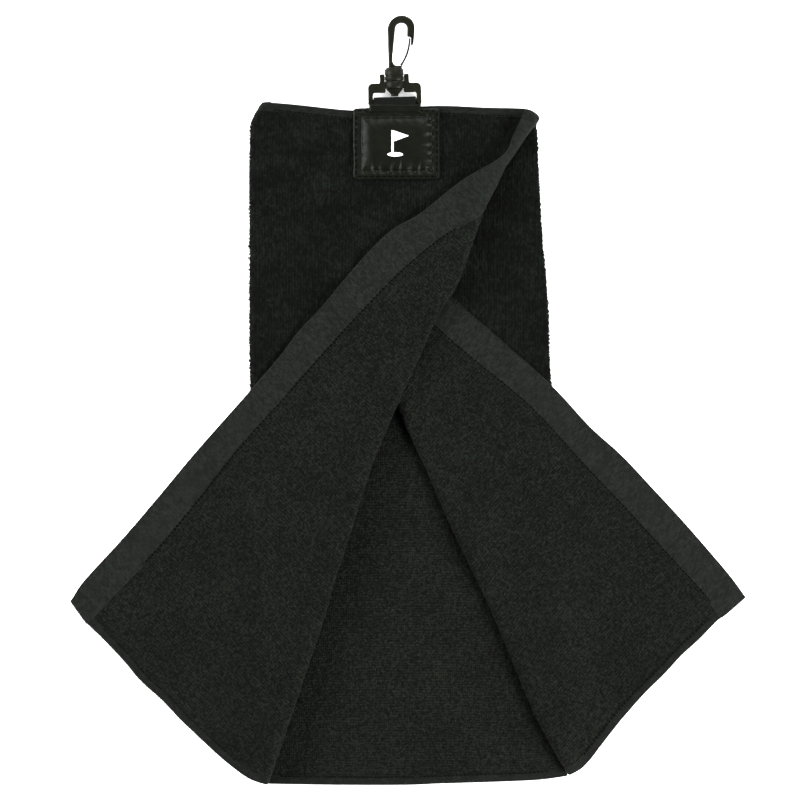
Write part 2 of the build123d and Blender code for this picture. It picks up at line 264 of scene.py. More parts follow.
@dataclass(frozen=True)
class Fold:
    """A fold where one ply turns under: a half-round roll along a slightly bowed line.

    Args:
        crest: Places along the outermost line of the fold.
        inward: Direction into the upper ply, square to the fold.
        middle: Height of the roll's centre.
        radius: Radius of the cloth's middle line in the roll.
        reach: Distance from the crest at which the roll begins.
    """

    crest: tuple[Point, ...]
    inward: Point
    middle: float
    radius: float
    reach: float
    tail: float = 1.2

    def frame(self) -> tuple[Array, Array, Array]:
        """Origin, direction along the fold and direction inward, as unit vectors."""
        n = np.array(self.inward) / math.hypot(*self.inward)
        return np.array(self.crest[0], float), np.array([n[1], -n[0]]), n

    def crest_at(self, along: Array) -> Array:
        """How far inward the crest lies at each distance along the fold."""
        origin, u, n = self.frame()
        line = smooth_run(self.crest, 2.0) - origin
        order = np.argsort(line @ u)
        return np.interp(along, (line @ u)[order], (line @ n)[order])

    def outermost(self) -> float:
        """Distance from the crest, measured in the flat cloth, of the end of the turned tail."""
        return self.reach - math.pi * self.radius - self.tail

    def line(self, inset: float, step: float, first: int = 0, last: int | None = None) -> Array:
        """The crest moved inward.

        Args:
            inset: How far inward of the crest, in the flat cloth.
            step: Spacing of the places.
            first: Number of the crest place that the line starts at.
            last: Number of the crest place that it stops before.

        Returns:
            Places along the moved line.
        """
        n = self.frame()[2]
        return smooth_run(self.crest[first:last], step) + inset * n

    def wrap(self, flat: Array, x: Array, y: Array, z: Array) -> tuple:
        """Rolls the cloth round the fold.

        Args:
            flat: Places in the flat cloth.
            x: Their places across so far.
            y: Their places along so far.
            z: Their heights so far.

        Returns:
            The new x, y and z.
        """
        origin, u, n = self.frame()
        along, across = (flat - origin) @ u, (flat - origin) @ n
        crest = self.crest_at(along)
        past = self.reach - (across - crest)
        turned = past > 0
        angle = np.clip(past / self.radius, 0, math.pi)
        spare = np.maximum(past - math.pi * self.radius, 0)
        rolled = crest + self.reach - self.radius * np.sin(angle) + spare
        carry = (z - self.middle - self.radius) * (1 + np.cos(angle)) / 2
        high = self.middle + self.radius * np.cos(angle) + carry
        shift = rolled - across
        return (
            np.where(turned, x + shift * n[0], x),
            np.where(turned, y + shift * n[1], y),
            np.where(turned, high, z),
        )


@dataclass
class Raster:
    """Square raster of heights over the whole towel."""

    low: Point = (-240.0, -240.0)
    step: float = 2.0
    across: int = 241
    along: int = 241
    passes: int = 420

    def places(self) -> Array:
        """All places of the raster, one row each."""
        x = self.low[0] + self.step * np.arange(self.across)
        y = self.low[1] + self.step * np.arange(self.along)
        return np.column_stack(grid(x, y))

    def read(self, heights: Array, x: Array, y: Array) -> Array:
        """Height at any places, smoothly between the raster's own.

        Args:
            heights: Heights at the raster's places.
            x: Places across.
            y: Places along.

        Returns:
            A height for each place.
        """
        u = np.clip((x - self.low[0]) / self.step, 0, self.across - 1.001)
        v = np.clip((y - self.low[1]) / self.step, 0, self.along - 1.001)
        i, j = u.astype(int), v.astype(int)
        s, t = u - i, v - j
        near = heights[i, j] * (1 - s) + heights[i + 1, j] * s
        far = heights[i, j + 1] * (1 - s) + heights[i + 1, j + 1] * s
        return near * (1 - t) + far * t

    @staticmethod
    def spread(heights: Array) -> Array:
        """Largest height among each place and its neighbours."""
        out = heights.copy()
        for axis in (0, 1):
            out = np.maximum.reduce([out, np.roll(out, 1, axis), np.roll(out, -1, axis)])
        return out

    @staticmethod
    def soften(heights: Array, times: int) -> Array:
        """Averages each place with its neighbours, times over."""
        for _ in range(times):
            for axis in (0, 1):
                heights = (2 * heights + np.roll(heights, 1, axis) + np.roll(heights, -1, axis)) / 4
        return heights

    def lay(self, under: Array, held: Array, at: float, sag: float) -> Array:
        """Lays limp cloth over what is under it.

        Args:
            under: Heights that the cloth can't go below.
            held: True where the cloth is held at one height.
            at: That height.
            sag: How fast the free cloth curves downwards, per millimetre.

        Returns:
            Heights of the cloth's underside.
        """
        floor = self.spread(under)
        cloth = self.soften(np.maximum(floor, at * held), 6)
        drop = sag * self.step**2 / 4
        for _ in range(self.passes):
            across = np.roll(cloth, 1, 0) + np.roll(cloth, -1, 0)
            cloth = np.maximum((across + np.roll(cloth, 1, 1) + np.roll(cloth, -1, 1)) / 4 - drop, floor)
            cloth[held] = at
        return np.maximum(self.soften(cloth, 3), floor)


@dataclass
class Lay:
    """Where each ply of the folded towel lies: its outline, folds and heights.

    Five plies from the table upwards: back, right under, right turned out, left under and
    left turned out.
    """

    ply: float = 2.2
    hem: float = 5.0
    band: float = 18.5
    left_edge: tuple[Point, ...] = (
        (-87.5, 200.5), (-92.4, 192), (-94.4, 178), (-94.6, 100), (-94.2, 34), (-90.5, -80),
        (-84, -201),
    )
    right_edge: tuple[Point, ...] = (
        (75.9, 190), (75, 184), (77.3, 132), (81.2, 84), (83, 37), (88.5, -80), (94.6, -196),
    )
    back_left: tuple[Point, ...] = (
        (-84, 196), (-89.8, 178), (-90.2, 100), (-89.8, 34), (-86.5, -70), (-84, -150), (-83.4, -196),
    )
    back_right: tuple[Point, ...] = (
        (73.6, 193), (72.8, 184), (75.1, 132), (79, 84), (80.8, 37), (86.3, -80), (92.2, -192),
    )
    top_edge: tuple[Point, ...] = (
        (-87.5, 200.5), (-70, 199.2), (-38, 195.8), (-24, 196.2), (16, 198.2), (45, 197.2), (60, 196.9),
        (68, 196.5), (72.5, 195), (76, 191.6),
    )
    bottom_edge: tuple[Point, ...] = (
        (-83.8, -200.6), (-42, -201.2), (-2, -201.2), (18, -200.4), (51, -199.4), (76, -198.2),
        (92.5, -196),
    )
    left_crest: tuple[Point, ...] = (
        (76.7, 190), (69.6, 181), (63.4, 171.7), (57, 162.5), (51.5, 151), (46.5, 141.5), (41.5, 130),
        (37, 117.5), (32.5, 104), (27, 91), (19.8, 79.7), (13.5, 68), (8.5, 57), (3.5, 45),
        (-3.5, 30.6), (-9.5, 17), (-16.3, 1), (-22.4, -14.4), (-28.6, -33), (-35, -53.5), (-41, -72),
        (-46.5, -89), (-50.5, -104), (-64.3, -145), (-82.6, -199.4),
    )
    right_crest: tuple[Point, ...] = (
        (-89, 199), (-50, 117), (-12, 30), (-3, 10.5), (10.6, -18.5), (27.5, -57), (41.3, -85),
        (55, -116), (71, -155), (84.5, -181), (92, -194),
    )
    left_end: tuple[Point, ...] = (
        (93, 172), (79, 187.5), (75.6, 192.4), (71, 195.6), (65, 196.8), (54, 198),
    )
    left_free: tuple[Point, ...] = (
        (68.4, 196.5), (61.4, 182), (54.3, 168.7), (30.7, 154.3), (6.2, 135), (-11.2, 124.7),
        (-28.6, 107.4), (-51, 80.8), (-65.5, 65.5), (-75.6, 52), (-93, 31.6), (-124.7, -4),
        (-147, -30.7), (-169.5, -57), (-191.5, -81), (-199, -92),
    )
    left_seam: tuple[Point, ...] = (
        (41, 133), (18.5, 119.5), (-6, 99), (-30.7, 73.5), (-54, 48), (-75.6, 23.4), (-101, -5),
        (-124.7, -35), (-148, -63), (-169.7, -85), (-186, -102.4),
    )
    left_cut: tuple[Point, ...] = (
        (-199.6, -94), (-191.8, -104.4), (-180, -116), (-168.7, -128), (-158.5, -140), (-145.7, -151.6),
        (-134.5, -163.4), (-122, -175.2), (-109, -187), (-95, -197.2), (-83.6, -201),
    )
    right_free: tuple[Point, ...] = (
        (-80, 180), (-26, 131), (29.9, 80.8), (43, 69.6), (55.5, 58.6), (67.7, 48), (80, 36.8),
        (91, 25.6), (106.6, 8.6), (125, -8), (141.4, -25.5), (157.7, -43), (174, -61.5), (188.4, -78.5),
        (197.6, -91),
    )
    right_seam: tuple[Point, ...] = (
        (-54, 126), (-18, 97), (13.5, 68.6), (35, 50), (51.3, 37), (64.7, 25.8), (76, 15), (88, 2),
        (100.4, -11.8), (125, -37.8), (149.5, -64.3), (172, -89), (181.3, -101.2),
    )
    right_cut: tuple[Point, ...] = (
        (198, -90.6), (186, -101), (181, -104.4), (170, -115.6), (160, -124.7), (149.5, -136),
        (137, -148.4), (125, -162), (118.8, -169.7), (111.7, -178.8), (105.6, -186.6), (99.4, -192.4),
        (90, -196.7), (82, -198.2),
    )
    right_top: float = 9.1
    left_top: float = 13.5
    fold_radius: float = 2.9
    fold_reach: float = 4.1
    fold_held: Point = (2.0, 5.8)
    sag: float = 0.014
    patch_low: float = 148.0
    patch_half: float = 31.0
    patch_middle: float = -8.0
    raster: Raster = field(default_factory=Raster)
    heights: dict[str, Array] = field(default_factory=dict)

    def __post_init__(self) -> None:
        """Sets the four folds and lays the plies."""
        t = self.ply
        self.left_side = Fold(self.left_edge, (1, 0), 2 * t, 1.5 * t, 2 * t)
        self.right_side = Fold(self.right_edge, (-1, 0), t, 0.5 * t, t)
        r, reach = self.fold_radius, self.fold_reach
        self.left_fold = Fold(self.left_crest, (-0.9258, 0.3781), self.left_top - r, r, reach)
        self.right_fold = Fold(self.right_crest, (0.9070, 0.4217), self.right_top - r, r, reach)
        self.lay_plies()

    def panel(self) -> Array:
        """Outline of the folded panel."""
        top = smooth_run(self.top_edge, 4)
        right = smooth_run(self.right_edge, 4)
        bottom = smooth_run(self.bottom_edge, 4)[::-1]
        left = smooth_run(self.left_edge, 4)[::-1]
        return closed(top, right, bottom, left)

    def lay_plies(self) -> None:
        """Works out the height of each ply's underside, from the table upwards."""
        r, t = self.raster, self.ply
        spots = r.places()
        x, y = spots.T
        shape = (r.across, r.along)

        def mask(outline: Array) -> Array:
            """True inside an outline."""
            return inside(outline, spots).reshape(shape)

        def near(fold: Fold, low: float, high: float) -> Array:
            """True between two distances inward of a fold."""
            origin, u, n = fold.frame()
            off = (spots - origin) @ n - fold.crest_at((spots - origin) @ u)
            return ((off > low) & (off < high)).reshape(shape)

        def ripple(seed: int, size: float, depth: float) -> Array:
            """Gentle unevenness of a ply."""
            return (depth * (1 + Unevenness(seed, size).at(x + 500, y + 500)) / 2).reshape(shape)

        panel = mask(self.panel())
        right_side = near(self.right_fold, 0, 1e4)
        left_side = near(self.left_fold, 0, 1e4)
        free, cut = smooth_run(self.right_free, 4), smooth_run(self.right_cut, 4)
        right_flap = mask(closed(free, cut, self.right_fold.line(0, 4)[::-1]))
        x_grid, y_grid = x.reshape(shape), y.reshape(shape)
        back = ripple(3, 46, 0.5) * panel
        self.heights["back"] = back
        over_back = (back + t) * panel
        self.heights["right_under"] = np.full(shape, t) + ripple(4, 40, 0.3)
        over_right = np.where(panel & right_side, self.heights["right_under"] + t, over_back)
        held = near(self.right_fold, *self.fold_held) & panel
        turned = r.lay(over_right, held, self.right_top - t / 2, self.sag)
        self.heights["right_turned"] = turned + ripple(5, 34, 0.45)
        over_turned = np.where(right_flap, self.heights["right_turned"] + t, over_right)
        patch = (np.abs(x_grid - self.patch_middle) < self.patch_half) & (y_grid > self.patch_low)
        edge = near(self.left_side, 3.0, 7.0) | near(self.left_fold, 1.0, 4.2) | (y_grid > 190) | patch
        left_under = r.lay(over_turned, edge & panel, 3 * t, 0.012)
        self.heights["left_under"] = left_under + ripple(6, 38, 0.35) * ~patch
        over_left = np.where(panel & left_side, self.heights["left_under"] + t, 0)
        held = near(self.left_fold, *self.fold_held) & panel
        top = r.lay(over_left, held, self.left_top - t / 2, self.sag)
        self.heights["left_turned"] = top + ripple(7, 36, 0.45)


# ---------------------------------------------------------------- meshes


@dataclass
class Shell:
    """A ply of cloth with two faces and a rounded rim, meshed from its flat outline.

    Args:
        name: Name of the piece.
        outline: Closed outline in the flat cloth.
        place: Puts flat places, given as x and y, in space at the cloth's middle line.
        grain: Coordinates along the cloth's own weave for flat places.
        thick: Thickness for flat places and their distance from the rim.
        pile: Height of the pile on the upper face and on the lower face.
        step: Spacing of the mesh.
    """

    name: str
    outline: Array
    place: FlatMap
    grain: FlatMap
    thick: Thickness
    pile: tuple[FlatMap, FlatMap]
    step: float = 1.0
    rim: float = 0.4

    def triangles(self) -> tuple[Array, Array, int]:
        """Meshes the flat outline.

        Returns:
            The flat places, outline first, the triangles, and how many places the outline has.
        """
        low, high = self.outline.min(axis=0), self.outline.max(axis=0)
        rise = self.step * math.sqrt(3) / 2
        rows = np.arange(low[1], high[1] + rise, rise)
        cols = np.arange(low[0], high[0] + self.step, self.step)
        gx, gy = np.meshgrid(cols, rows)
        gx = gx + (np.arange(len(rows))[:, None] % 2) * self.step / 2
        spots = np.column_stack([gx.ravel(), gy.ravel()])
        spots = spots[inside(self.outline, spots)]
        spots = spots[edge_distance(self.outline, spots) > 0.55 * self.step]
        count = len(self.outline)
        places = np.vstack([self.outline, spots])
        edges = [(i, (i + 1) % count) for i in range(count)]
        verts, _, faces, *_ = delaunay_2d_cdt([Vector(p) for p in places], edges, [], 1, 1e-6)
        if len(verts) != len(places):
            raise ValueError(f"{self.name}: its outline crosses itself")
        tri = np.array([f for f in faces if len(f) == 3], int)
        a, b, c = (places[tri[:, i]] for i in range(3))
        area = (b[:, 0] - a[:, 0]) * (c[:, 1] - a[:, 1]) - (b[:, 1] - a[:, 1]) * (c[:, 0] - a[:, 0])
        tri[area < 0] = tri[area < 0][:, ::-1]
        return places, tri, count

    def build(self) -> Object:
        """Makes the ply's mesh.

        Returns:
            The new object, in metres.
        """
        flat, tri, count = self.triangles()
        middle = self.place(flat)
        a, b, c = (middle[tri[:, k]] for k in range(3))
        normals = np.zeros_like(middle)
        for corner in range(3):
            np.add.at(normals, tri[:, corner], np.cross(b - a, c - a))
        normals = unit(normals)
        grain = self.grain(flat)
        from_rim = edge_distance(self.outline, flat)
        half = self.thick(flat, from_rim)[:, None] / 2
        fade = np.clip(from_rim / 1.5, 0.25, 1)[:, None]
        upper = middle + normals * (half + fade * self.pile[0](grain)[:, None])
        lower = middle - normals * (half + fade * self.pile[1](grain)[:, None])
        edge = middle[:count]
        along = np.roll(edge, -1, axis=0) - np.roll(edge, 1, axis=0)
        turn = winding(self.outline)
        out = unit(turn * np.cross(along, normals[:count]))
        rim = edge + out * half[:count] * 2 * self.rim
        size = len(flat)
        verts = np.vstack([upper, lower, rim])
        i = np.arange(count)
        j = (i + 1) % count
        if turn < 0:
            i, j = j, i
        upper_wall = np.column_stack([i, 2 * size + i, 2 * size + j, j])
        lower_wall = np.column_stack([2 * size + i, size + i, size + j, 2 * size + j])
        faces = [*tri.tolist(), *(tri[:, ::-1] + size).tolist()]
        faces += np.vstack([upper_wall, lower_wall])[:, ::-1].tolist()
        cloth = np.vstack([grain, grain, grain[:count]])
        side = np.concatenate([np.ones(size), -np.ones(size), np.zeros(count)])
        return mesh_piece(self.name, verts, faces, np.column_stack([cloth, side]))


@dataclass
class Beads:
    """Short tubes, such as stitches and tufts of pile, gathered for one piece."""

    sides: int
    verts: list = field(default_factory=list)
    faces: list = field(default_factory=list)

    def add(self, cores: Array, radii: Array, cross: Array, up: Array) -> None:
        """Adds one tube.

        Args:
            cores: Places along its middle.
            radii: Its radius at each of them.
            cross: Direction across it.
            up: Direction square to both the tube and cross.
        """
        base, sides = len(self.verts), self.sides
        for core, radius in zip(cores, radii):
            for angle in 2 * math.pi * np.arange(sides) / sides:
                self.verts.append(core + radius * (math.cos(angle) * cross + math.sin(angle) * up))
        last = base + sides * (len(radii) - 1)
        for p in range(base, last, sides):
            for k in range(sides):
                n, q = (k + 1) % sides, p + sides
                self.faces.append([p + n, p + k, q + k, q + n])
        self.faces.append([base + k for k in range(sides)])
        self.faces.append([last + k for k in reversed(range(sides))])


def slab(upper: Array, rows: int, low: float) -> tuple[Array, list]:
    """Closes a grid of places into a slab with a flat underside.

    Args:
        upper: Places of the upper face.
        rows: Number of rows across.
        low: Height of the underside.

    Returns:
        The slab's places and faces.
    """
    size = len(upper)
    lower = np.column_stack([upper[:, :2], np.full(size, low)])
    index = np.arange(size).reshape(rows, -1)
    corners = [index[:-1, :-1], index[1:, :-1], index[1:, 1:], index[:-1, 1:]]
    top = np.stack(corners, axis=-1).reshape(-1, 4)
    rim = np.concatenate([index[:, 0], index[-1, 1:], index[-2::-1, -1], index[0, -2:0:-1]])
    ahead = np.roll(rim, -1)
    walls = np.column_stack([rim, rim + size, ahead + size, ahead])
    return np.vstack([upper, lower]), [*top.tolist(), *(top[:, ::-1] + size).tolist(), *walls.tolist()]


def gathered(parts: Sequence[Object], move: Matrix) -> tuple[list, list]:
    """Takes the meshes of loose parts together and clears the parts away.

    Args:
        parts: The parts.
        move: Puts their places where they belong, in millimetres.

    Returns:
        All their places and faces.
    """
    verts: list = []
    faces: list = []
    for part in parts:
        base = len(verts)
        verts += [tuple(move @ v.co) for v in part.data.vertices]
        faces += [[base + i for i in p.vertices] for p in part.data.polygons]
        bpy.data.objects.remove(part)
    return verts, faces


def link(name: str, data: bpy.types.ID) -> Object:
    """Makes an object of a mesh, curve, lamp or camera and puts it in the scene."""
    obj = bpy.data.objects.new(name, data)
    bpy.context.scene.collection.objects.link(obj)
    return obj


def mesh_piece(name: str, verts: Array, faces: list, cloth: Array | None = None) -> Object:
    """Writes a mesh in metres.

    Args:
        name: Name of the piece.
        verts: Places in millimetres.
        faces: Faces as lists of place numbers.
        cloth: Weave coordinates of each place, and which face of the cloth it is on.

    Returns:
        The new object.
    """
    mesh = bpy.data.meshes.new(name)
    mesh.from_pydata((np.asarray(verts) * MM).tolist(), [], faces)
    if cloth is not None:
        weave = mesh.attributes.new("cloth", "FLOAT_VECTOR", "POINT")
        weave.data.foreach_set("vector", cloth.astype(np.float32).ravel())
    mesh.polygons.foreach_set("use_smooth", [True] * len(mesh.polygons))
    mesh.validate()
    mesh.update()
    return link(name, mesh)


# ---------------------------------------------------------------- finishes


class Bench:
    """Builds one material's nodes, ending in a Principled shader."""

    def __init__(self, name: str) -> None:
        """Starts an empty material."""
        self.material = bpy.data.materials.new(name)
        self.material.use_nodes = True
        self.tree = self.material.node_tree
        self.tree.nodes.clear()
        out = self.tree.nodes.new("ShaderNodeOutputMaterial")
        self.shader = self.tree.nodes.new("ShaderNodeBsdfPrincipled")
        self.tree.links.new(self.shader.outputs[0], out.inputs["Surface"])

    def plug(self, value: object, socket: Socket) -> None:
        """Links a socket, or sets a plain value."""
        if isinstance(value, Socket):
            self.tree.links.new(value, socket)
        else:
            socket.default_value = value

    def weave(self) -> Socket:
        """The cloth's own coordinates, in millimetres."""
        node = self.tree.nodes.new("ShaderNodeAttribute")
        node.attribute_type, node.attribute_name = "GEOMETRY", "cloth"
        return node.outputs["Vector"]

    def solid(self) -> Socket:
        """Coordinates of a moulded or coated piece, in metres."""
        return self.tree.nodes.new("ShaderNodeTexCoord").outputs["Object"]

    def spot(self) -> Socket:
        """Coordinates of a moulded or coated piece, in millimetres."""
        return self.stretch(self.solid(), (1000, 1000, 1000))

    def split(self, vector: object) -> list[Socket]:
        """The three parts of a vector."""
        node = self.tree.nodes.new("ShaderNodeSeparateXYZ")
        self.plug(vector, node.inputs[0])
        return list(node.outputs)

    def stretch(self, vector: object, by: Triple) -> Socket:
        """A vector with each part multiplied."""
        node = self.tree.nodes.new("ShaderNodeVectorMath")
        node.operation = "MULTIPLY"
        self.plug(vector, node.inputs[0])
        node.inputs[1].default_value = by
        return node.outputs[0]

    def sum(self, kind: str, a: object, b: object = 0.0, c: object = 0.0) -> Socket:
        """One arithmetic step.

        Args:
            kind: Name of the operation.
            a: First number or socket.
            b: Second number or socket.
            c: Third number or socket.

        Returns:
            The result's socket.
        """
        node = self.tree.nodes.new("ShaderNodeMath")
        node.operation = kind
        for value, socket in zip((a, b, c), node.inputs):
            self.plug(value, socket)
        return node.outputs[0]

    def noise(
        self, vector: object, scale: float, detail: float = 2.0, rough: float = 0.5
    ) -> Socket:
        """Cloudy noise from 0 to 1.

        Args:
            vector: Coordinates.
            scale: Cells per unit.
            detail: How many finer layers.
            rough: Strength of the finer layers.

        Returns:
            The noise's socket.
        """
        node = self.tree.nodes.new("ShaderNodeTexNoise")
        sockets = {"Vector": vector, "Scale": scale, "Detail": detail, "Roughness": rough}
        for name, value in sockets.items():
            self.plug(value, node.inputs[name])
        return node.outputs["Fac"]

    def cells(self, vector: object, scale: float, uneven: float = 1.0) -> Socket:
        """Distance to the nearest of scattered spots, such as loop tips.

        Args:
            vector: Coordinates.
            scale: Spots per unit.
            uneven: 0 for a square order, 1 for a random one.

        Returns:
            The distance's socket.
        """
        node = self.tree.nodes.new("ShaderNodeTexVoronoi")
        self.plug(vector, node.inputs["Vector"])
        node.inputs["Scale"].default_value = scale
        node.inputs["Randomness"].default_value = uneven
        return node.outputs["Distance"]

    def ridges(self, place: object, pitch: float, sway: object = 0.0) -> Socket:
        """Even ridges from -1 to 1.

        Args:
            place: Distance across the ridges.
            pitch: Distance from ridge to ridge.
            sway: Phase added to it.

        Returns:
            The ridges' socket.
        """
        return self.sum("SINE", self.sum("MULTIPLY_ADD", place, 2 * math.pi / pitch, sway))

    def ramp(self, value: object, stops: Sequence[tuple[float, Triple]]) -> Socket:
        """Colours for a value.

        Args:
            value: The value's socket.
            stops: Places from 0 to 1, each with its colour.

        Returns:
            The colour's socket.
        """
        node = self.tree.nodes.new("ShaderNodeValToRGB")
        self.plug(value, node.inputs[0])
        band = node.color_ramp
        while len(band.elements) < len(stops):
            band.elements.new(1.0)
        for element, (at, colour) in zip(band.elements, stops):
            element.position = at
            element.color = (*colour, 1)
        return node.outputs[0]

    def relief(self, height: object, depth: float) -> None:
        """Gives the surface relief.

        Args:
            height: Height's socket, about 0 to 1.
            depth: Real height of 1, in metres.
        """
        node = self.tree.nodes.new("ShaderNodeBump")
        node.inputs["Strength"].default_value = 1.0
        node.inputs["Distance"].default_value = depth
        self.plug(height, node.inputs["Height"])
        self.tree.links.new(node.outputs[0], self.shader.inputs["Normal"])

    def set(self, **values: object) -> None:
        """Sets or links the shader's sockets, named with _ for spaces."""
        for name, value in values.items():
            self.plug(value, self.shader.inputs[name.replace("_", " ")])


@dataclass(frozen=True)
class Finish:
    """What every finish has: its name and its base colour."""

    name: str
    colour: Triple

    def shades(self, *stops: Point) -> list[tuple[float, Triple]]:
        """The base colour made darker or lighter at places from 0 to 1."""
        return [(at, tuple(c * by for c in self.colour)) for at, by in stops]


@dataclass(frozen=True)
class LoopPile(Finish):
    """Terry: rows of small loops, on the towel's inner face."""

    row: float = 1.6
    loop: float = 1.25
    depth: float = 0.0008
    # how strongly the painted shade follows the pile's height
    contrast: float = 1.35

    def material(self) -> bpy.types.Material:
        """Makes the finish."""
        b = Bench(self.name)
        weave = b.weave()
        u, v, _ = b.split(weave)
        sway = b.sum("MULTIPLY", b.noise(weave, 0.22, 3.0), 9.0)
        rows = b.ridges(v, self.row, sway)
        side = b.ridges(u, self.loop, b.sum("MULTIPLY", b.noise(weave, 0.35, 2.0), 11.0))
        tips = b.cells(weave, 1 / self.loop, 0.9)
        fuzz = b.noise(weave, 0.62, 3.0, 0.75)
        lumps = b.sum("MULTIPLY_ADD", rows, 0.055, b.sum("MULTIPLY", side, 0.035))
        height = b.sum("SUBTRACT", b.sum("MULTIPLY_ADD", fuzz, 0.95, lumps), b.sum("MULTIPLY", tips, 0.35))
        cloud = b.noise(weave, 0.028, 4.0, 0.6)
        # Painted shade: the colour follows the pile's height and is darkest in the low places between loops.
        # The cloud adds random tone on top.
        shade = b.sum("MULTIPLY_ADD", height, self.contrast, b.sum("MULTIPLY_ADD", cloud, 0.3, -0.065))
        colour = b.ramp(shade, self.shades((0.22, 0.1), (0.45, 0.75), (0.6, 1.5), (0.8, 3.0)))
        b.relief(height, self.depth)
        b.set(Base_Color=colour, Roughness=0.95, Specular_IOR_Level=0.05)
        b.set(Sheen_Weight=0.01, Sheen_Roughness=0.55)
        return b.material


@dataclass(frozen=True)
class RibbedPile(Finish):
    """Short velour with fine ribs along the towel, on its outer face."""

    rib: float = 1.75
    depth: float = 0.0007

    def material(self) -> bpy.types.Material:
        """Makes the finish."""
        b = Bench(self.name)
        weave = b.weave()
        u, _, _ = b.split(weave)
        drift = b.sum("MULTIPLY", b.noise(b.stretch(weave, (0.6, 0.05, 1)), 0.5, 3.0), 7.0)
        ribs = b.ridges(u, self.rib, drift)
        tufts = b.noise(b.stretch(weave, (1.0, 0.6, 1)), 0.6, 3.0, 0.75)
        height = b.sum("MULTIPLY_ADD", ribs, 0.05, b.sum("MULTIPLY", tufts, 1.1))
        cloud = b.noise(b.stretch(weave, (1.0, 1.9, 1)), 0.028, 5.0, 0.66)
        # Painted shade: the colour follows the pile's height and is darker where the tufts and ribs are low.
        # The cloud adds random tone on top.
        shade = b.sum("MULTIPLY_ADD", height, 1.25, b.sum("MULTIPLY_ADD", cloud, 0.75, -0.58))
        colour = b.ramp(shade, self.shades((0.22, 0.1), (0.45, 0.75), (0.6, 1.5), (0.8, 3.2)))
        b.relief(height, self.depth)
        b.set(Base_Color=colour, Roughness=0.92, Specular_IOR_Level=0.04)
        b.set(Sheen_Weight=0.008, Sheen_Roughness=0.5)
        return b.material


@dataclass(frozen=True)
class FlatWeave(Finish):
    """Flat woven cloth of the bands and rolled hems."""

    yarn: float = 1.0
    depth: float = 0.0003

    def material(self) -> bpy.types.Material:
        """Makes the finish."""
        b = Bench(self.name)
        weave = b.weave()
        u, v, _ = b.split(weave)
        wander = b.sum("MULTIPLY", b.noise(weave, 0.4, 2.0), 4.0)
        picks = b.ridges(v, self.yarn, wander)
        ends = b.ridges(u, self.yarn, wander)
        slubs = b.noise(b.stretch(weave, (0.6, 1.1, 1)), 0.6, 3.0, 0.75)
        crossings = b.sum("MULTIPLY", picks, ends)
        height = b.sum("MULTIPLY_ADD", crossings, 0.16, b.sum("MULTIPLY_ADD", picks, 0.1, slubs))
        cloud = b.noise(weave, 0.05, 3.0, 0.55)
        # Painted shade: the colour follows the weave's height and is darker in its low places. The cloud
        # adds random tone on top.
        shade = b.sum("MULTIPLY_ADD", height, 2.0, b.sum("MULTIPLY_ADD", cloud, 0.25, -0.675))
        colour = b.ramp(shade, self.shades((0.25, 0.3), (0.5, 0.95), (0.78, 2.3)))
        b.relief(height, self.depth)
        b.set(Base_Color=colour, Roughness=0.85, Specular_IOR_Level=0.08)
        b.set(Sheen_Weight=0.01, Sheen_Roughness=0.4)
        return b.material


@dataclass(frozen=True)
class Thread(Finish):
    """Twisted sewing thread."""

    def material(self) -> bpy.types.Material:
        """Makes the finish."""
        b = Bench(self.name)
        spot = b.spot()
        x, y, _ = b.split(spot)
        twist = b.ridges(b.sum("ADD", x, y), 0.35)
        patchy = b.noise(spot, 0.6, 2.0)
        # Partly painted shade: the colour darkens in the grooves of the twist. The patchy noise is random
        # tone.
        shade = b.sum("MULTIPLY_ADD", twist, 0.2, patchy)
        colour = b.ramp(shade, self.shades((0.0, 0.5), (0.5, 1), (1.0, 1.7)))
        b.relief(twist, 0.00005)
        b.set(Base_Color=colour, Roughness=0.85, Specular_IOR_Level=0.03)
        return b.material


@dataclass(frozen=True)
class Leatherette(Finish):
    """Glossy coated cloth with a fine grain."""

    def material(self) -> bpy.types.Material:
        """Makes the finish."""
        b = Bench(self.name)
        spot = b.spot()
        grain = b.cells(spot, 1.5, 1.0)
        soft = b.noise(spot, 0.28, 3.0, 0.55)
        height = b.sum("MULTIPLY_ADD", grain, 0.35, b.sum("MULTIPLY", soft, 2.2))
        cloud = b.noise(spot, 0.09, 3.0, 0.6)
        colour = b.ramp(cloud, self.shades((0.25, 0.7), (0.55, 1), (0.8, 1.4)))
        scuff = b.sum("MULTIPLY_ADD", b.noise(spot, 0.7, 4.0, 0.7), 0.22, 0.34)
        b.relief(height, 0.00008)
        b.set(Base_Color=colour, Roughness=scuff, Specular_IOR_Level=0.055)
        return b.material


@dataclass(frozen=True)
class Webbing(Finish):
    """Ribbed woven tape."""

    def material(self) -> bpy.types.Material:
        """Makes the finish."""
        b = Bench(self.name)
        weave = b.weave()
        u, v, _ = b.split(weave)
        ribs = b.ridges(v, 1.1)
        yarns = b.ridges(u, 1.3, b.sum("MULTIPLY", ribs, 1.4))
        fuzz = b.noise(weave, 1.8, 2.0, 0.6)
        height = b.sum("MULTIPLY_ADD", b.sum("MULTIPLY", ribs, yarns), 0.25, fuzz)
        # Painted shade: the colour follows the tape's height and is darker in the low places between ribs
        # and yarns.
        colour = b.ramp(height, self.shades((0.2, 0.4), (0.55, 1), (0.9, 2.2)))
        b.relief(height, 0.0004)
        b.set(Base_Color=colour, Roughness=0.85, Sheen_Weight=0.01, Specular_IOR_Level=0.08)
        return b.material


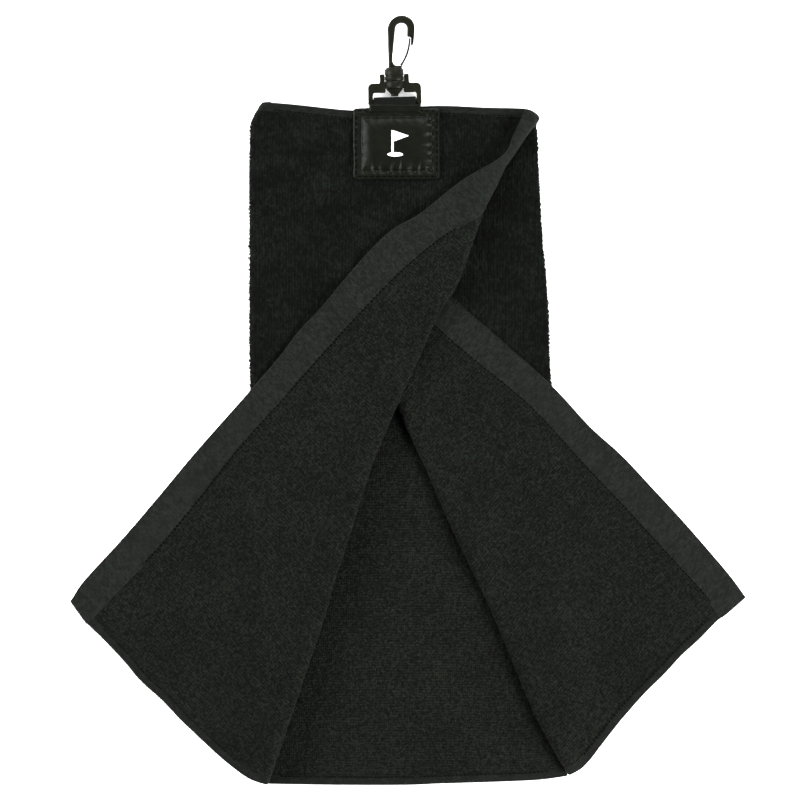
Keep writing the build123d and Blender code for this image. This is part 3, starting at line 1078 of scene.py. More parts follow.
@dataclass(frozen=True)
class MouldedPlastic(Finish):
    """Satin moulded nylon with faint flow marks and uneven roughness."""

    def material(self) -> bpy.types.Material:
        """Makes the finish."""
        b = Bench(self.name)
        spot = b.spot()
        fine = b.noise(spot, 2.6, 3.0, 0.6)
        flow = b.noise(b.stretch(spot, (1, 0.3, 1)), 0.22, 3.0, 0.6)
        shade = b.sum("MULTIPLY_ADD", fine, 0.25, b.sum("MULTIPLY", flow, 0.8))
        colour = b.ramp(shade, self.shades((0.2, 0.7), (0.5, 1), (0.85, 1.4)))
        b.relief(b.sum("MULTIPLY_ADD", fine, 0.5, flow), 0.00006)
        worn = b.sum("MULTIPLY_ADD", flow, 0.2, 0.34)
        b.set(Base_Color=colour, Roughness=worn, Specular_IOR_Level=0.055)
        return b.material


@dataclass(frozen=True)
class SoftPrint(Finish):
    """Raised white print with a faint crackle."""

    def material(self) -> bpy.types.Material:
        """Makes the finish."""
        b = Bench(self.name)
        spot = b.spot()
        crackle = b.noise(spot, 1.6, 3.0, 0.6)
        colour = b.ramp(crackle, self.shades((0.25, 0.8), (0.5, 1), (0.9, 1.03)))
        b.relief(crackle, 0.00004)
        b.set(Base_Color=colour, Roughness=0.45)
        return b.material


@dataclass(frozen=True)
class Foam(Finish):
    """Open-cell foam of the pad inside the patch."""

    def material(self) -> bpy.types.Material:
        """Makes the finish."""
        b = Bench(self.name)
        spot = b.spot()
        pores = b.cells(spot, 1.8)
        # Painted shade: the colour is darker in the pores' hollows.
        colour = b.ramp(pores, self.shades((0.0, 0.5), (0.6, 1)))
        b.relief(pores, 0.0003)
        b.set(Base_Color=colour, Roughness=0.95)
        return b.material


class Slot(Enum):
    """The record's material slots."""

    VELOUR = "velour"
    TERRY = "terry"
    HEM = "hem"
    FLAT_WEAVE = "flat_weave"
    THREAD = "thread"
    WEBBING = "webbing"
    LEATHERETTE = "leatherette"
    FOAM = "foam"
    PRINT = "white_print"
    PLASTIC = "black_plastic"


@dataclass
class Finishes:
    """Every finish of the towel, one for each slot."""

    made: dict[Slot, bpy.types.Material] = field(default_factory=dict)

    def __post_init__(self) -> None:
        """Makes the materials."""
        kinds = {
            Slot.VELOUR: RibbedPile("ribbed_velour", (0.0011, 0.0015, 0.0010)),
            Slot.TERRY: LoopPile("terry_loops", (0.0020, 0.0026, 0.0018)),
            Slot.HEM: FlatWeave("hem_weave", (0.0018, 0.0024, 0.0017), 0.9),
            Slot.FLAT_WEAVE: FlatWeave("band_weave", (0.0030, 0.0038, 0.0029), 1.1),
            # The thread is kept about five times darker than the cloth so that the stitch rows read as dark
            # lines. This is partly the thread's own black and partly painted shade along the seams.
            Slot.THREAD: Thread("sewing_thread", (0.0004, 0.0005, 0.0004)),
            Slot.WEBBING: Webbing("woven_tape", (0.0020, 0.0024, 0.0018)),
            Slot.LEATHERETTE: Leatherette("leatherette", (0.0020, 0.0026, 0.0014)),
            Slot.FOAM: Foam("pad_foam", (0.05, 0.05, 0.05)),
            Slot.PRINT: SoftPrint("white_print", (0.86, 0.85, 0.87)),
            Slot.PLASTIC: MouldedPlastic("moulded_plastic", (0.0040, 0.0044, 0.0026)),
        }
        self.made = {slot: kind.material() for slot, kind in kinds.items()}

    def dress(self, obj: Object, *slots: Slot) -> Object:
        """Gives a piece its finish.

        Args:
            obj: The piece.
            slots: Its slots, the first for the whole piece.

        Returns:
            The same piece.
        """
        obj.data.materials.clear()
        for slot in slots:
            obj.data.materials.append(self.made[slot])
        return obj


# ---------------------------------------------------------------- the towel's plies


class Body(Enum):
    """The bodies that pieces ride on."""

    TOWEL = "towel"
    LEFT_FLAP = "left_flap"
    FRAME = "clip_frame"
    HOOK = "snap_hook"
    GATE = "gate"


def pile_height(seed: int, depth: float, tufted: float, size: float, long: float = 1.0) -> FlatMap:
    """Height of a pile over the weave.

    Args:
        seed: Start of the random unevenness.
        depth: How much the pile stands up and down.
        tufted: Share of single tufts in that, next to the smoother part.
        size: Size of the smoother part's highs and lows.
        long: How much longer than wide they are.

    Returns:
        A function from weave coordinates to heights.
    """

    def height(grain: Array) -> Array:
        """Height at each place."""
        u, v = grain.T + FAR
        tufts = np.random.default_rng(seed).uniform(-1, 1, len(u))
        return depth * (tufted * tufts + (1 - tufted) * Unevenness(seed + 1, size).at(u, v / long))

    return height


def joint(name: str) -> dict:
    """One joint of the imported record."""
    return next(j for j in frame["record"]["behaviour"]["joints"] if j["name"] == name)


def loop_pile(seed: int, depth: float = 0.22) -> FlatMap:
    """Height of terry's loops."""
    return pile_height(seed, depth, 0.45, 2.3)


def rib_pile(seed: int, depth: float = 0.2) -> FlatMap:
    """Height of velour's ribs."""
    return pile_height(seed, depth, 0.5, 2.1, 5.0)


def smooth_face(depth: float = 0.05, seed: int = 40) -> FlatMap:
    """Height of flat weave, nearly even.

    Args:
        depth: How uneven it is.
        seed: Start of the random unevenness.

    Returns:
        A function from weave coordinates to heights.
    """
    return lambda grain: depth * Unevenness(seed, 4.0).at(*(grain.T + FAR))


def mirrored(direction: Point) -> FlatMap:
    """Weave coordinates of cloth turned over along a direction.

    Args:
        direction: Direction of the fold.

    Returns:
        A function from flat places to weave coordinates.
    """
    u = np.array(direction) / math.hypot(*direction)
    turn = 2 * np.outer(u, u) - np.eye(2)
    return lambda flat: flat @ turn


def straight(flat: Array) -> Array:
    """Weave coordinates of cloth that isn't turned over."""
    return flat.copy()


@dataclass(frozen=True)
class Stitch:
    """A kind of stitch: its spacing, length, half thickness and height over the cloth's middle."""

    pitch: float
    length: float
    radius: float
    lift: float


SEAM_STITCH = Stitch(2.5, 2.4, 0.42, 0.66)
HEM_STITCH = Stitch(2.4, 1.7, 0.22, 1.15)


@dataclass
class Cloth:
    """The folded towel: plies, hems, bands and their stitching."""

    lay: Lay
    finishes: Finishes
    coarse: float = 1.3
    fine: float = 1.05
    hem_step: float = 0.9
    band_thick: float = 1.5
    label_thick: float = 0.9
    label_reach: float = 48.0
    label_width: float = 7.0
    tuft_step: float = 0.42
    bend: Point = (0.013, 0.042)
    pieces: dict[str, Object] = field(default_factory=dict)

    def sits(self, ply: str, fold: Fold | None = None) -> FlatMap:
        """How flat places of one ply sit in space.

        Args:
            ply: Name of the ply's heights.
            fold: The fold that it rolls round.

        Returns:
            A function from flat places to places in space.
        """

        def place(flat: Array) -> Array:
            """Places in space of flat places."""
            x, y = flat[:, 0].copy(), flat[:, 1].copy()
            z = self.lay.raster.read(self.lay.heights[ply], x, y) + self.lay.ply / 2
            if fold:
                x, y, z = fold.wrap(flat, x, y, z)
            return np.column_stack([x, y, z])

        return place

    def plain(self) -> Thickness:
        """Even thickness that thins a little at the rim."""
        return lambda flat, off: self.lay.ply * np.clip(0.72 + 0.28 * off / 1.6, 0, 1)

    def rolled(self, full: float) -> Thickness:
        """Thickness of a rolled hem: full in its middle, thin at both rims."""
        thick, half = self.lay.ply * full, self.lay.hem / 2
        return lambda flat, off: thick * (0.55 + 0.5 * np.sqrt(np.clip(off / half, 0, 1)))

    def add(
        self,
        name: str,
        outline: Array,
        place: FlatMap,
        grain: FlatMap,
        thick: Thickness,
        pile: tuple[FlatMap, FlatMap],
        slot: Slot,
        node: str,
        step: float,
    ) -> Object:
        """Builds, dresses and registers one ply or strip.

        Args:
            name: Name of the piece.
            outline: Its flat outline.
            place: How it sits in space.
            grain: Its weave coordinates.
            thick: Its thickness.
            pile: The pile of its two faces.
            slot: Its finish.
            node: The node that it stands for.
            step: Spacing of its mesh.

        Returns:
            The new piece.
        """
        obj = Shell(name, outline, place, grain, thick, pile, step).build()
        self.finishes.dress(obj, slot)
        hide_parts(node)
        self.pieces[name] = obj
        LOG.info("%s: %d faces", name, len(obj.data.polygons))
        return obj

    def hem(
        self, name: str, runs: Sequence[Array], place: FlatMap, grain: FlatMap, node: str, full: float = 0.95
    ) -> Object:
        """Builds a rolled hem.

        Args:
            name: Name of the piece.
            runs: The runs round it.
            place: How it sits in space.
            grain: Its weave coordinates.
            node: The node that it stands for.
            full: Its greatest thickness, in plies.

        Returns:
            The new piece.
        """
        outline, faces = ring(self.hem_step, *runs), (smooth_face(), smooth_face())
        return self.add(
            name, outline, place, grain, self.rolled(full), faces, Slot.HEM, node, self.hem_step
        )

    def build(self) -> None:
        """Builds every ply, hem and band, from the table upwards."""
        self.build_back()
        self.build_right()
        self.build_left()
        self.build_stitching()

    def build_back(self) -> None:
        """Builds the back panel with its two hems."""
        lay = self.lay
        top, bottom = (extended(smooth_run(edge, 1), 8) for edge in (lay.top_edge, lay.bottom_edge))
        left, right = (extended(smooth_run(edge, 1), 12) for edge in (lay.back_left, lay.back_right))
        top_in, bottom_in = moved(top, lay.hem), moved(bottom, -lay.hem)
        place = self.sits("back")
        back = self.add(
            "back_cloth", ring(self.coarse, top_in, right, bottom_in, left), place, straight,
            self.plain(), (loop_pile(11, 0.34), rib_pile(12)), Slot.TERRY, "back_panel", self.coarse,
        )
        upper, lower = (top, right, top_in, left), (bottom_in, right, bottom, left)
        hems = [
            self.hem("back_top_roll", upper, place, straight, "back_top_hem"),
            self.hem("back_bottom_roll", lower, place, straight, "back_bottom_hem"),
        ]

    def build_right(self) -> None:
        """Builds the right flap: its sewn part, and the part turned out with its hem and band."""
        lay = self.lay
        low = moved(extended(smooth_run(lay.bottom_edge, 1), 12), -2.0)
        side = extended(lay.right_side.line(lay.right_side.outermost(), 1), 12)
        inner = extended(lay.right_fold.line(lay.right_fold.reach, 1), 12)
        self.sew("right", lay.right_side, (side, low, inner), (side, inner), 21)
        self.turn_out("right", lay.right_fold, lay.right_free, lay.right_seam, lay.right_cut, -1, 31)

    def build_left(self) -> None:
        """Builds the left flap: its sewn part, and the part turned out with its hem and band."""
        lay = self.lay
        inner = extended(lay.left_fold.line(lay.left_fold.reach, 1), 12)
        side = extended(lay.left_side.line(lay.left_side.outermost(), 1), 12)
        low = np.array([(-120.0, -184.0), (-60.0, -184.0)])
        self.sew("left", lay.left_side, (inner, low, side), (inner, side), 41)
        self.turn_out("left", lay.left_fold, lay.left_free, lay.left_seam, lay.left_cut, 1, 51)

    def sew(
        self, side: str, fold: Fold, runs: Sequence[Array], ends: Sequence[Array],
        seed: int,
    ) -> None:
        """Builds the sewn part of one flap with its top hem.

        Args:
            side: Which flap, left or right.
            fold: The side fold.
            runs: The runs round it after its top.
            ends: The runs at the two ends of its top hem.
            seed: Start of the random unevenness.
        """
        top = extended(smooth_run(self.lay.top_edge, 1), 12)
        top_in = moved(top, self.lay.hem)
        place = self.sits(f"{side}_under", fold)
        under = self.add(
            f"{side}_under_cloth", ring(self.fine, top_in, *runs), place, straight, self.plain(),
            (rib_pile(seed, 0.42), loop_pile(seed + 1)), Slot.VELOUR, f"{side}_flap_under", self.fine,
        )
        hem_runs = (top, ends[0], top_in, ends[1])
        hem = self.hem(f"{side}_top_roll", hem_runs, place, straight, f"{side}_top_hem")

    def turn_out(
        self, side: str, fold: Fold, free: Sequence[Point], seam: Sequence[Point], cut: Sequence[Point],
        turn: int, seed: int,
    ) -> None:
        """Builds the turned-out part of one flap.

        Args:
            side: Which flap, left or right.
            fold: The diagonal fold.
            free: Places along the band's free edge.
            seam: Places along the band's seam.
            cut: Places along the lower edge.
            turn: 1 for the left flap, -1 for the right.
            seed: Start of the random unevenness.
        """
        lay, left = self.lay, side == "left"
        crest = extended(fold.line(fold.outermost(), 1), 14)
        step_run = smooth_run(seam, 1)
        free_run, seam_run = extended(smooth_run(free, 1), 30), extended(step_run, 30)
        cut_run = extended(smooth_run(cut, 1), 14)
        hem_run = moved(cut_run, -lay.hem * turn)
        place = self.sits(f"{side}_turned", fold)
        grain = mirrored(tuple(fold.frame()[1]))
        cloth = self.add(
            f"{side}_turned_cloth", ring(self.fine, seam_run, hem_run, crest), place, grain, self.plain(),
            (loop_pile(seed, 0.42), rib_pile(seed + 1)), Slot.TERRY, f"{side}_flap_turnout", self.fine,
        )
        hem_runs = (hem_run, seam_run, cut_run, crest)
        roll = self.hem(f"{side}_hem_roll", hem_runs, place, grain, f"{side}_bottom_hem", 1.0)

        def band_thick(flat: Array, off: Array) -> Array:
            """Thickness of the band, with the left one's label near its tip."""
            thick = self.band_thick * np.clip(0.7 + 0.3 * off / 1.6, 0, 1)
            if left:
                from_tip = np.linalg.norm(flat - np.array(cut[0]), axis=1) - self.label_reach
                from_seam = edge_distance(step_run, flat) - self.label_width
                fade = (1 + np.exp(from_tip / 0.5)) * (1 + np.exp(from_seam / 0.35))
                thick = thick + self.label_thick / fade
            return thick

        band_runs = [free_run, cut_run, seam_run, crest] + ([smooth_run(lay.left_end, 1)] if left else [])
        faces = (smooth_face(0.08, seed), smooth_face(0.08, seed))
        band = self.add(
            f"{side}_band", ring(self.hem_step, *band_runs), place, grain, band_thick, faces,
            Slot.FLAT_WEAVE, f"{side}_woven_band", self.hem_step,
        )
        seam_line = moved(step_run, turn * 1.0)[14 if left else 3 : -6]
        stitches = self.stitch_row(f"{side}_seam_stitches", seam_line, place, SEAM_STITCH)
        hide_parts(f"{side}_band_seam")
        hem_line = moved(hem_run, turn * 0.9)[24:-24]
        self.stitch_row(f"{side}_hem_stitches", hem_line, place, HEM_STITCH, 0.03)

    def stitch_row(
        self, name: str, line: Array, place: FlatMap, stitch: Stitch, proud: float = 0.0
    ) -> Object:
        """Sews a row of stitches along a line on a ply.

        Args:
            name: Name of the row.
            line: Places along the row, in the flat cloth.
            place: How the ply sits in space.
            stitch: The kind of stitch.
            proud: Extra height of the thread.

        Returns:
            The row as one piece.
        """
        profile = np.array([(-0.5, 0.15), (-0.42, 0.7), (-0.15, 1.0), (0.15, 1.0), (0.42, 0.7), (0.5, 0.15)])
        spacing, fat = profile.T
        beads = Beads(6)
        for start in np.arange(stitch.pitch, distances(line)[-1] - stitch.pitch, stitch.pitch):
            spots = place(spots_at(line, start + spacing * stitch.length))
            ahead = unit(spots[-1] - spots[0])
            cross = unit(np.cross(ahead, (0, 0, 1)))
            up = np.cross(cross, ahead)
            rise = stitch.lift + proud + stitch.radius * (fat - 1) * 0.8
            beads.add(spots + rise[:, None] * up, stitch.radius * fat, cross, up)
        return self.keep(mesh_piece(name, np.array(beads.verts), beads.faces), Slot.THREAD)

    def keep(self, obj: Object, slot: Slot) -> Object:
        """Dresses and registers a piece that stands for no node."""
        self.pieces[obj.name] = self.finishes.dress(obj, slot)
        LOG.info("%s: %d faces", obj.name, len(obj.data.polygons))
        return obj

    def build_stitching(self) -> None:
        """Sews the stitch rows of the top and bottom hems, and adds the side folds' tufts."""
        lay = self.lay
        inset = lay.hem - 0.9
        top = moved(smooth_run(lay.top_edge, 1), inset)[6:-14]
        self.stitch_row("top_hem_stitches", top, self.sits("left_under", lay.left_side), HEM_STITCH)
        self.fringe("left_side_tufts", lay.left_side, 2 * lay.ply, (22.0, 190.0), 81)
        self.fringe("right_side_tufts", lay.right_side, lay.ply, (24.0, 186.0), 82)
        bottom = moved(smooth_run(lay.bottom_edge, 1), -inset)[6:-8]
        self.stitch_row("bottom_hem_stitches", bottom, self.sits("back"), HEM_STITCH)

    def fringe(self, name: str, fold: Fold, outer: float, span: Point, seed: int) -> None:
        """Lets short tufts stand out of the pile where a side fold turns.

        Args:
            name: Name of the row of tufts.
            fold: The side fold.
            outer: Radius of the fold's outside.
            span: Where along the towel the tufts start and end.
            seed: Start of the random unevenness.
        """
        rng = np.random.default_rng(seed)
        beads = Beads(5)
        far = np.array([0.0, 0.45, 0.8, 1.0])[:, None]
        wide = np.array([0.8, 1.0, 0.75, 0.25])
        origin, u, _ = fold.frame()
        inward = fold.inward[0]
        for y in np.arange(*span, self.tuft_step):
            a = rng.uniform(-1.0, 1.1)
            along = (np.array([[0.0, y]]) - origin) @ u
            edge = fold.crest[0][0] + inward * fold.crest_at(along)[0]
            out = np.array([-inward * math.cos(a), 0.0, math.sin(a)])
            root = np.array([edge + inward * outer, y, fold.middle]) + out * (outer - 0.35)
            ahead = unit(out + rng.normal(0, 0.35, 3))
            cross = unit(np.cross(ahead, (0.1, 0.9, 0.2)))
            long, fat = rng.uniform(0.7, 1.5), rng.uniform(0.28, 0.5)
            beads.add(root + ahead * long * far, fat * wide, cross, np.cross(cross, ahead))
        places = np.array(beads.verts)
        weave = np.column_stack([places[:, :2], np.ones(len(places))])
        self.keep(mesh_piece(name, places, beads.faces, weave), Slot.VELOUR)

    def mount(self) -> None:
        """Puts the pieces on the towel's body, all but the left flap's turned-out pieces, whose places are
        baked in.
        """
        for name, obj in self.pieces.items():
            if name.startswith(("left_turned", "left_band", "left_hem", "left_seam")):
                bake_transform(obj)
            else:
                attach(obj, Body.TOWEL.value)


# ---------------------------------------------------------------- patch and webbing


@dataclass
class Patch:
    """The padded leatherette patch with its stitches, print, foam and the webbing under it."""

    finishes: Finishes
    centre: Point = (-8.0, 176.2)
    base: float = 8.85
    width: float = 51.0
    length: float = 42.0
    border: float = 5.0
    border_high: float = 2.3
    dome: float = 2.7
    stitch_in: float = 1.7
    stitch_pitch: float = 3.6
    pucker: float = 5.4
    print_size: float = 13.4
    print_lift: float = 0.1
    print_thick: float = 0.12
    tongue_half: float = 15.2
    tape_half: float = 12.5

    def height(self, x: Array, y: Array) -> Array:
        """Height of the patch over its underside.

        Args:
            x: Places across, from its centre.
            y: Places along, from its centre.

        Returns:
            Heights.
        """
        dx, dy = self.width / 2 - np.abs(x), self.length / 2 - np.abs(y)
        d = np.minimum(dx, dy)
        inner = np.maximum(d - self.border, 0)
        corner = inner * np.maximum(np.maximum(dx, dy) - self.border, 0)
        puff = self.dome * (1 - np.exp(-inner / 3.4)) * (1 - 0.3 * np.exp(-corner / 22))
        rim = self.border_high * (0.55 + 0.45 * (1 - np.exp(-d / 0.8)))
        valley = -0.45 * np.exp(-(((d - self.border + 0.2) / 1.0) ** 2))
        sewn = -0.16 * np.exp(-(((d - self.stitch_in) / 0.6) ** 2))
        wave = self.uneven(71, 5.0, x, y)
        along = np.where(dx < dy, y, x)
        side = np.where((dx < dy) & (x > 0), 0.7, np.where((dx >= dy) & (y < 0), 1.0, 0.2))
        gathers = np.sin(2 * math.pi * along / self.pucker + 2.4 * wave)
        reach = np.exp(-inner / 3.6) * np.clip((d - 3.0) / 2.4, 0, 1)
        folds = 0.62 * side * gathers * reach
        slack = 0.35 * self.uneven(72, 11.0, x, y) * np.clip(inner / 4, 0, 1)
        ripple = 0.2 * self.uneven(73, 1.9, x, y) * np.clip(1 - inner / 3, 0.12, 1)
        return rim + valley + sewn + puff + folds + slack + ripple

    def uneven(self, seed: int, size: float, x: Array, y: Array) -> Array:
        """Smooth unevenness over the patch, from -1 to 1."""
        return Unevenness(seed, size).at(x + 300, y + 300)

    def at(self, x: Array, y: Array, z: Array | float) -> Array:
        """Places given from the patch's centre, as places in space."""
        return np.column_stack([x + self.centre[0], y + self.centre[1], z + 0 * x])

    def surface(self, flat: Array) -> Array:
        """Places of the print's middle, just over the patch's upper face."""
        x, y = flat.T
        return self.at(x, y, self.base + self.height(x, y) + self.print_lift)

    def build_cover(self) -> None:
        """Builds the leatherette cover as one closed skin."""
        half_x, half_y, corner = self.width / 2, self.length / 2, 1.6
        x, y = grid(np.linspace(-half_x, half_x, 128), np.linspace(-half_y, half_y, 106))
        to_side, to_end = corner - (half_x - np.abs(x)), corner - (half_y - np.abs(y))
        pull = 1 - 0.012 * np.clip(to_side, 0, None) * np.clip(to_end, 0, None)
        wavy = 0.25 * self.uneven(74, 6.0, x, y)
        across, along = x * pull + wavy * np.abs(x) / half_x, y * pull + wavy * np.abs(y) / half_y
        upper = self.at(across, along, self.base + self.height(x, y))
        obj = mesh_piece("patch_leatherette", *slab(upper, 128, self.base))
        self.finish(obj, Slot.LEATHERETTE, "patch_cover")

    def build_tongue(self) -> None:
        """Builds the leatherette tongue that covers the end of the webbing."""
        half, low = self.tongue_half, self.base + self.border_high - 0.2
        x, y = grid(np.linspace(-half, half, 60), np.linspace(-2.6, 2.4, 12))
        d = np.minimum(half - np.abs(x), 2.5 - np.abs(y + 0.1))
        lift = 0.85 * np.clip(d / 0.7, 0, 1) ** 0.5 + 0.12 * Unevenness(76, 3.5).at(x + 90, y + 90)
        upper = self.at(x - 0.9, y + self.length / 2, low + lift)
        self.finish(mesh_piece("patch_tongue", *slab(upper, 60, low - 0.3)), Slot.LEATHERETTE)

    def build_foam(self) -> None:
        """Builds the foam pad inside the cover."""
        half_x, half_y = (side / 2 - self.border - 1.2 for side in (self.width, self.length))
        x, y = grid(np.linspace(-half_x, half_x, 28), np.linspace(-half_y, half_y, 28))
        upper = self.at(x, y, np.maximum(self.height(x, y) - 1.0, 0.3) + self.base)
        obj = mesh_piece("patch_foam", *slab(upper, 28, self.base + 0.1))
        self.finish(obj, Slot.FOAM, "patch_pad")

    def build_stitches(self) -> None:
        """Sews the thread round the patch's border."""
        hx, hy = self.width / 2 - self.stitch_in, self.length / 2 - self.stitch_in
        shape = [(-0.5, 0.2), (-0.4, 0.8), (-0.1, 1.0), (0.1, 1.0), (0.4, 0.8), (0.5, 0.2)]
        spacing, fat = np.array(shape).T
        corners = np.array([(-hx, hy), (hx, hy), (hx, -hy), (-hx, -hy)])
        beads = Beads(6)
        for start, end in zip(corners, np.roll(corners, -1, axis=0)):
            ahead = unit(end - start)
            cross = np.array([ahead[1], -ahead[0], 0.0])
            for s in np.arange(2.2, np.linalg.norm(end - start) - 1.0, self.stitch_pitch):
                x, y = (start + ahead * (s + 2.5 * spacing)[:, None]).T
                cores = self.at(x, y, self.base + self.height(x, y) + 0.16 * fat)
                beads.add(cores, 0.30 * fat, cross, np.array([0.0, 0.0, 1.0]))
        obj = mesh_piece("patch_stitches", np.array(beads.verts), beads.faces)
        self.finish(obj, Slot.THREAD, "patch_stitching")

    def even(self, flat: Array, off: Array) -> Array:
        """Thickness of the print, the same everywhere."""
        return np.full(len(flat), self.print_thick)

    def build_print(self) -> None:
        """Builds the raised pin-flag print, draped on the patch."""
        pole = [(-0.26, -0.5), (-0.17, -0.5), (-0.17, 0.5), (-0.26, 0.5)]
        flag = [(-0.17, 0.5), (0.5, 0.27), (-0.17, 0.02)]
        turns = np.linspace(0, 2 * math.pi, 22)[:-1]
        mound = [(0.34 * math.cos(a) - 0.1, 0.09 * math.sin(a) - 0.55) for a in turns]
        step, faces = 0.45, (smooth_face(0), smooth_face(0))
        parts = []
        for shape in (pole, flag, mound):
            outline = ring_points(np.array(shape) * self.print_size + (0.6, 1.0), step)
            shell = Shell("print", outline, self.surface, straight, self.even, faces, step, 0.3)
            parts.append(shell.build())
        obj = mesh_piece("patch_print", *gathered(parts, Matrix.Scale(1 / MM, 4)))
        self.finish(obj, Slot.PRINT, "patch_emblem")

    def build_webbing(self) -> None:
        """Builds the woven tape: a ring round the clip's bar with its doubled end under the patch."""
        bar = frame_bar()
        outer, low, high, step = 2.73, 3.22, 5.0, 0.35
        bend = arc_points((0, 0), outer, 199, 450, 40)
        profile = [(-8.7, low), (-5.5, low), (-3.03, low), *bend, (-4.2, high), (-6.5, high), (-8.7, high)]
        loop = ring_points(np.array(profile), step)
        before, after = np.roll(loop, 1, axis=0), np.roll(loop, -1, axis=0)
        normal = unit(np.column_stack([before[:, 1] - after[:, 1], after[:, 0] - before[:, 0]]))
        turn, half, rows, count = winding(loop), self.tape_half, 84, len(loop)
        run = np.arange(count) * step
        verts, weave = [], []
        for w in np.linspace(-half, half, rows):
            edge = 0.25 * min(1.0, (half - abs(w)) / 0.6)
            rib = 0.09 * np.sin(2 * math.pi * run / 1.1) * math.copysign(1, math.sin(2 * math.pi * w / 1.6))
            spots = loop - normal * turn * (rib + edge - 0.25)[:, None]
            verts += [bar.point(w, u, v) for u, v in spots]
            weave += [(w, at, 1.0) for at in run]
        faces = []
        for start in range(0, (rows - 1) * count, count):
            for i in range(count):
                j = (i + 1) % count
                faces.append([start + i, start + j, start + count + j, start + count + i])
        faces += [list(range(count))[::-1], [(rows - 1) * count + i for i in range(count)]]
        if turn > 0:
            faces = [f[::-1] for f in faces]
        obj = mesh_piece("webbing_tape", np.array(verts), faces, np.array(weave))
        self.finish(obj, Slot.WEBBING, "webbing_loop")

    def finish(self, obj: Object, slot: Slot, node: str | None = None) -> None:
        """Dresses a piece, hides the node that it stands for and puts it on the towel."""
        self.finishes.dress(obj, slot)
        if node:
            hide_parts(node)
        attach(obj, Body.TOWEL.value)
        LOG.info("%s: %d faces", obj.name, len(obj.data.polygons))

    def build(self) -> None:
        """Builds all the patch's pieces."""
        self.build_foam()
        self.build_cover()
        self.build_tongue()
        self.build_stitches()
        self.build_print()
        self.build_webbing()


# ---------------------------------------------------------------- swivel clip


@dataclass(frozen=True)
class BarFrame:
    """Axes of the clip: across the towel, along towards the hook, and up."""

    origin: Triple
    turn: float

    def point(self, across: float, along: float, up: float) -> Triple:
        """A place in the clip's axes as one in space."""
        c, s = math.cos(self.turn), math.sin(self.turn)
        x, y, z = self.origin
        return (x + c * across - s * along, y + s * across + c * along, z + up)

    def matrix(self) -> Matrix:
        """The clip's axes as a matrix in millimetres."""
        return Matrix.Translation(self.origin) @ Matrix.Rotation(self.turn, 4, "Z")


def frame_bar() -> BarFrame:
    """The clip's axes, read from the tilt joint."""
    tilt = joint("frame_tilt")
    x, y, z = (c / MM for c in tilt["pos_m"])
    return BarFrame((x, y, z), math.atan2(tilt["axis"][1], tilt["axis"][0]))


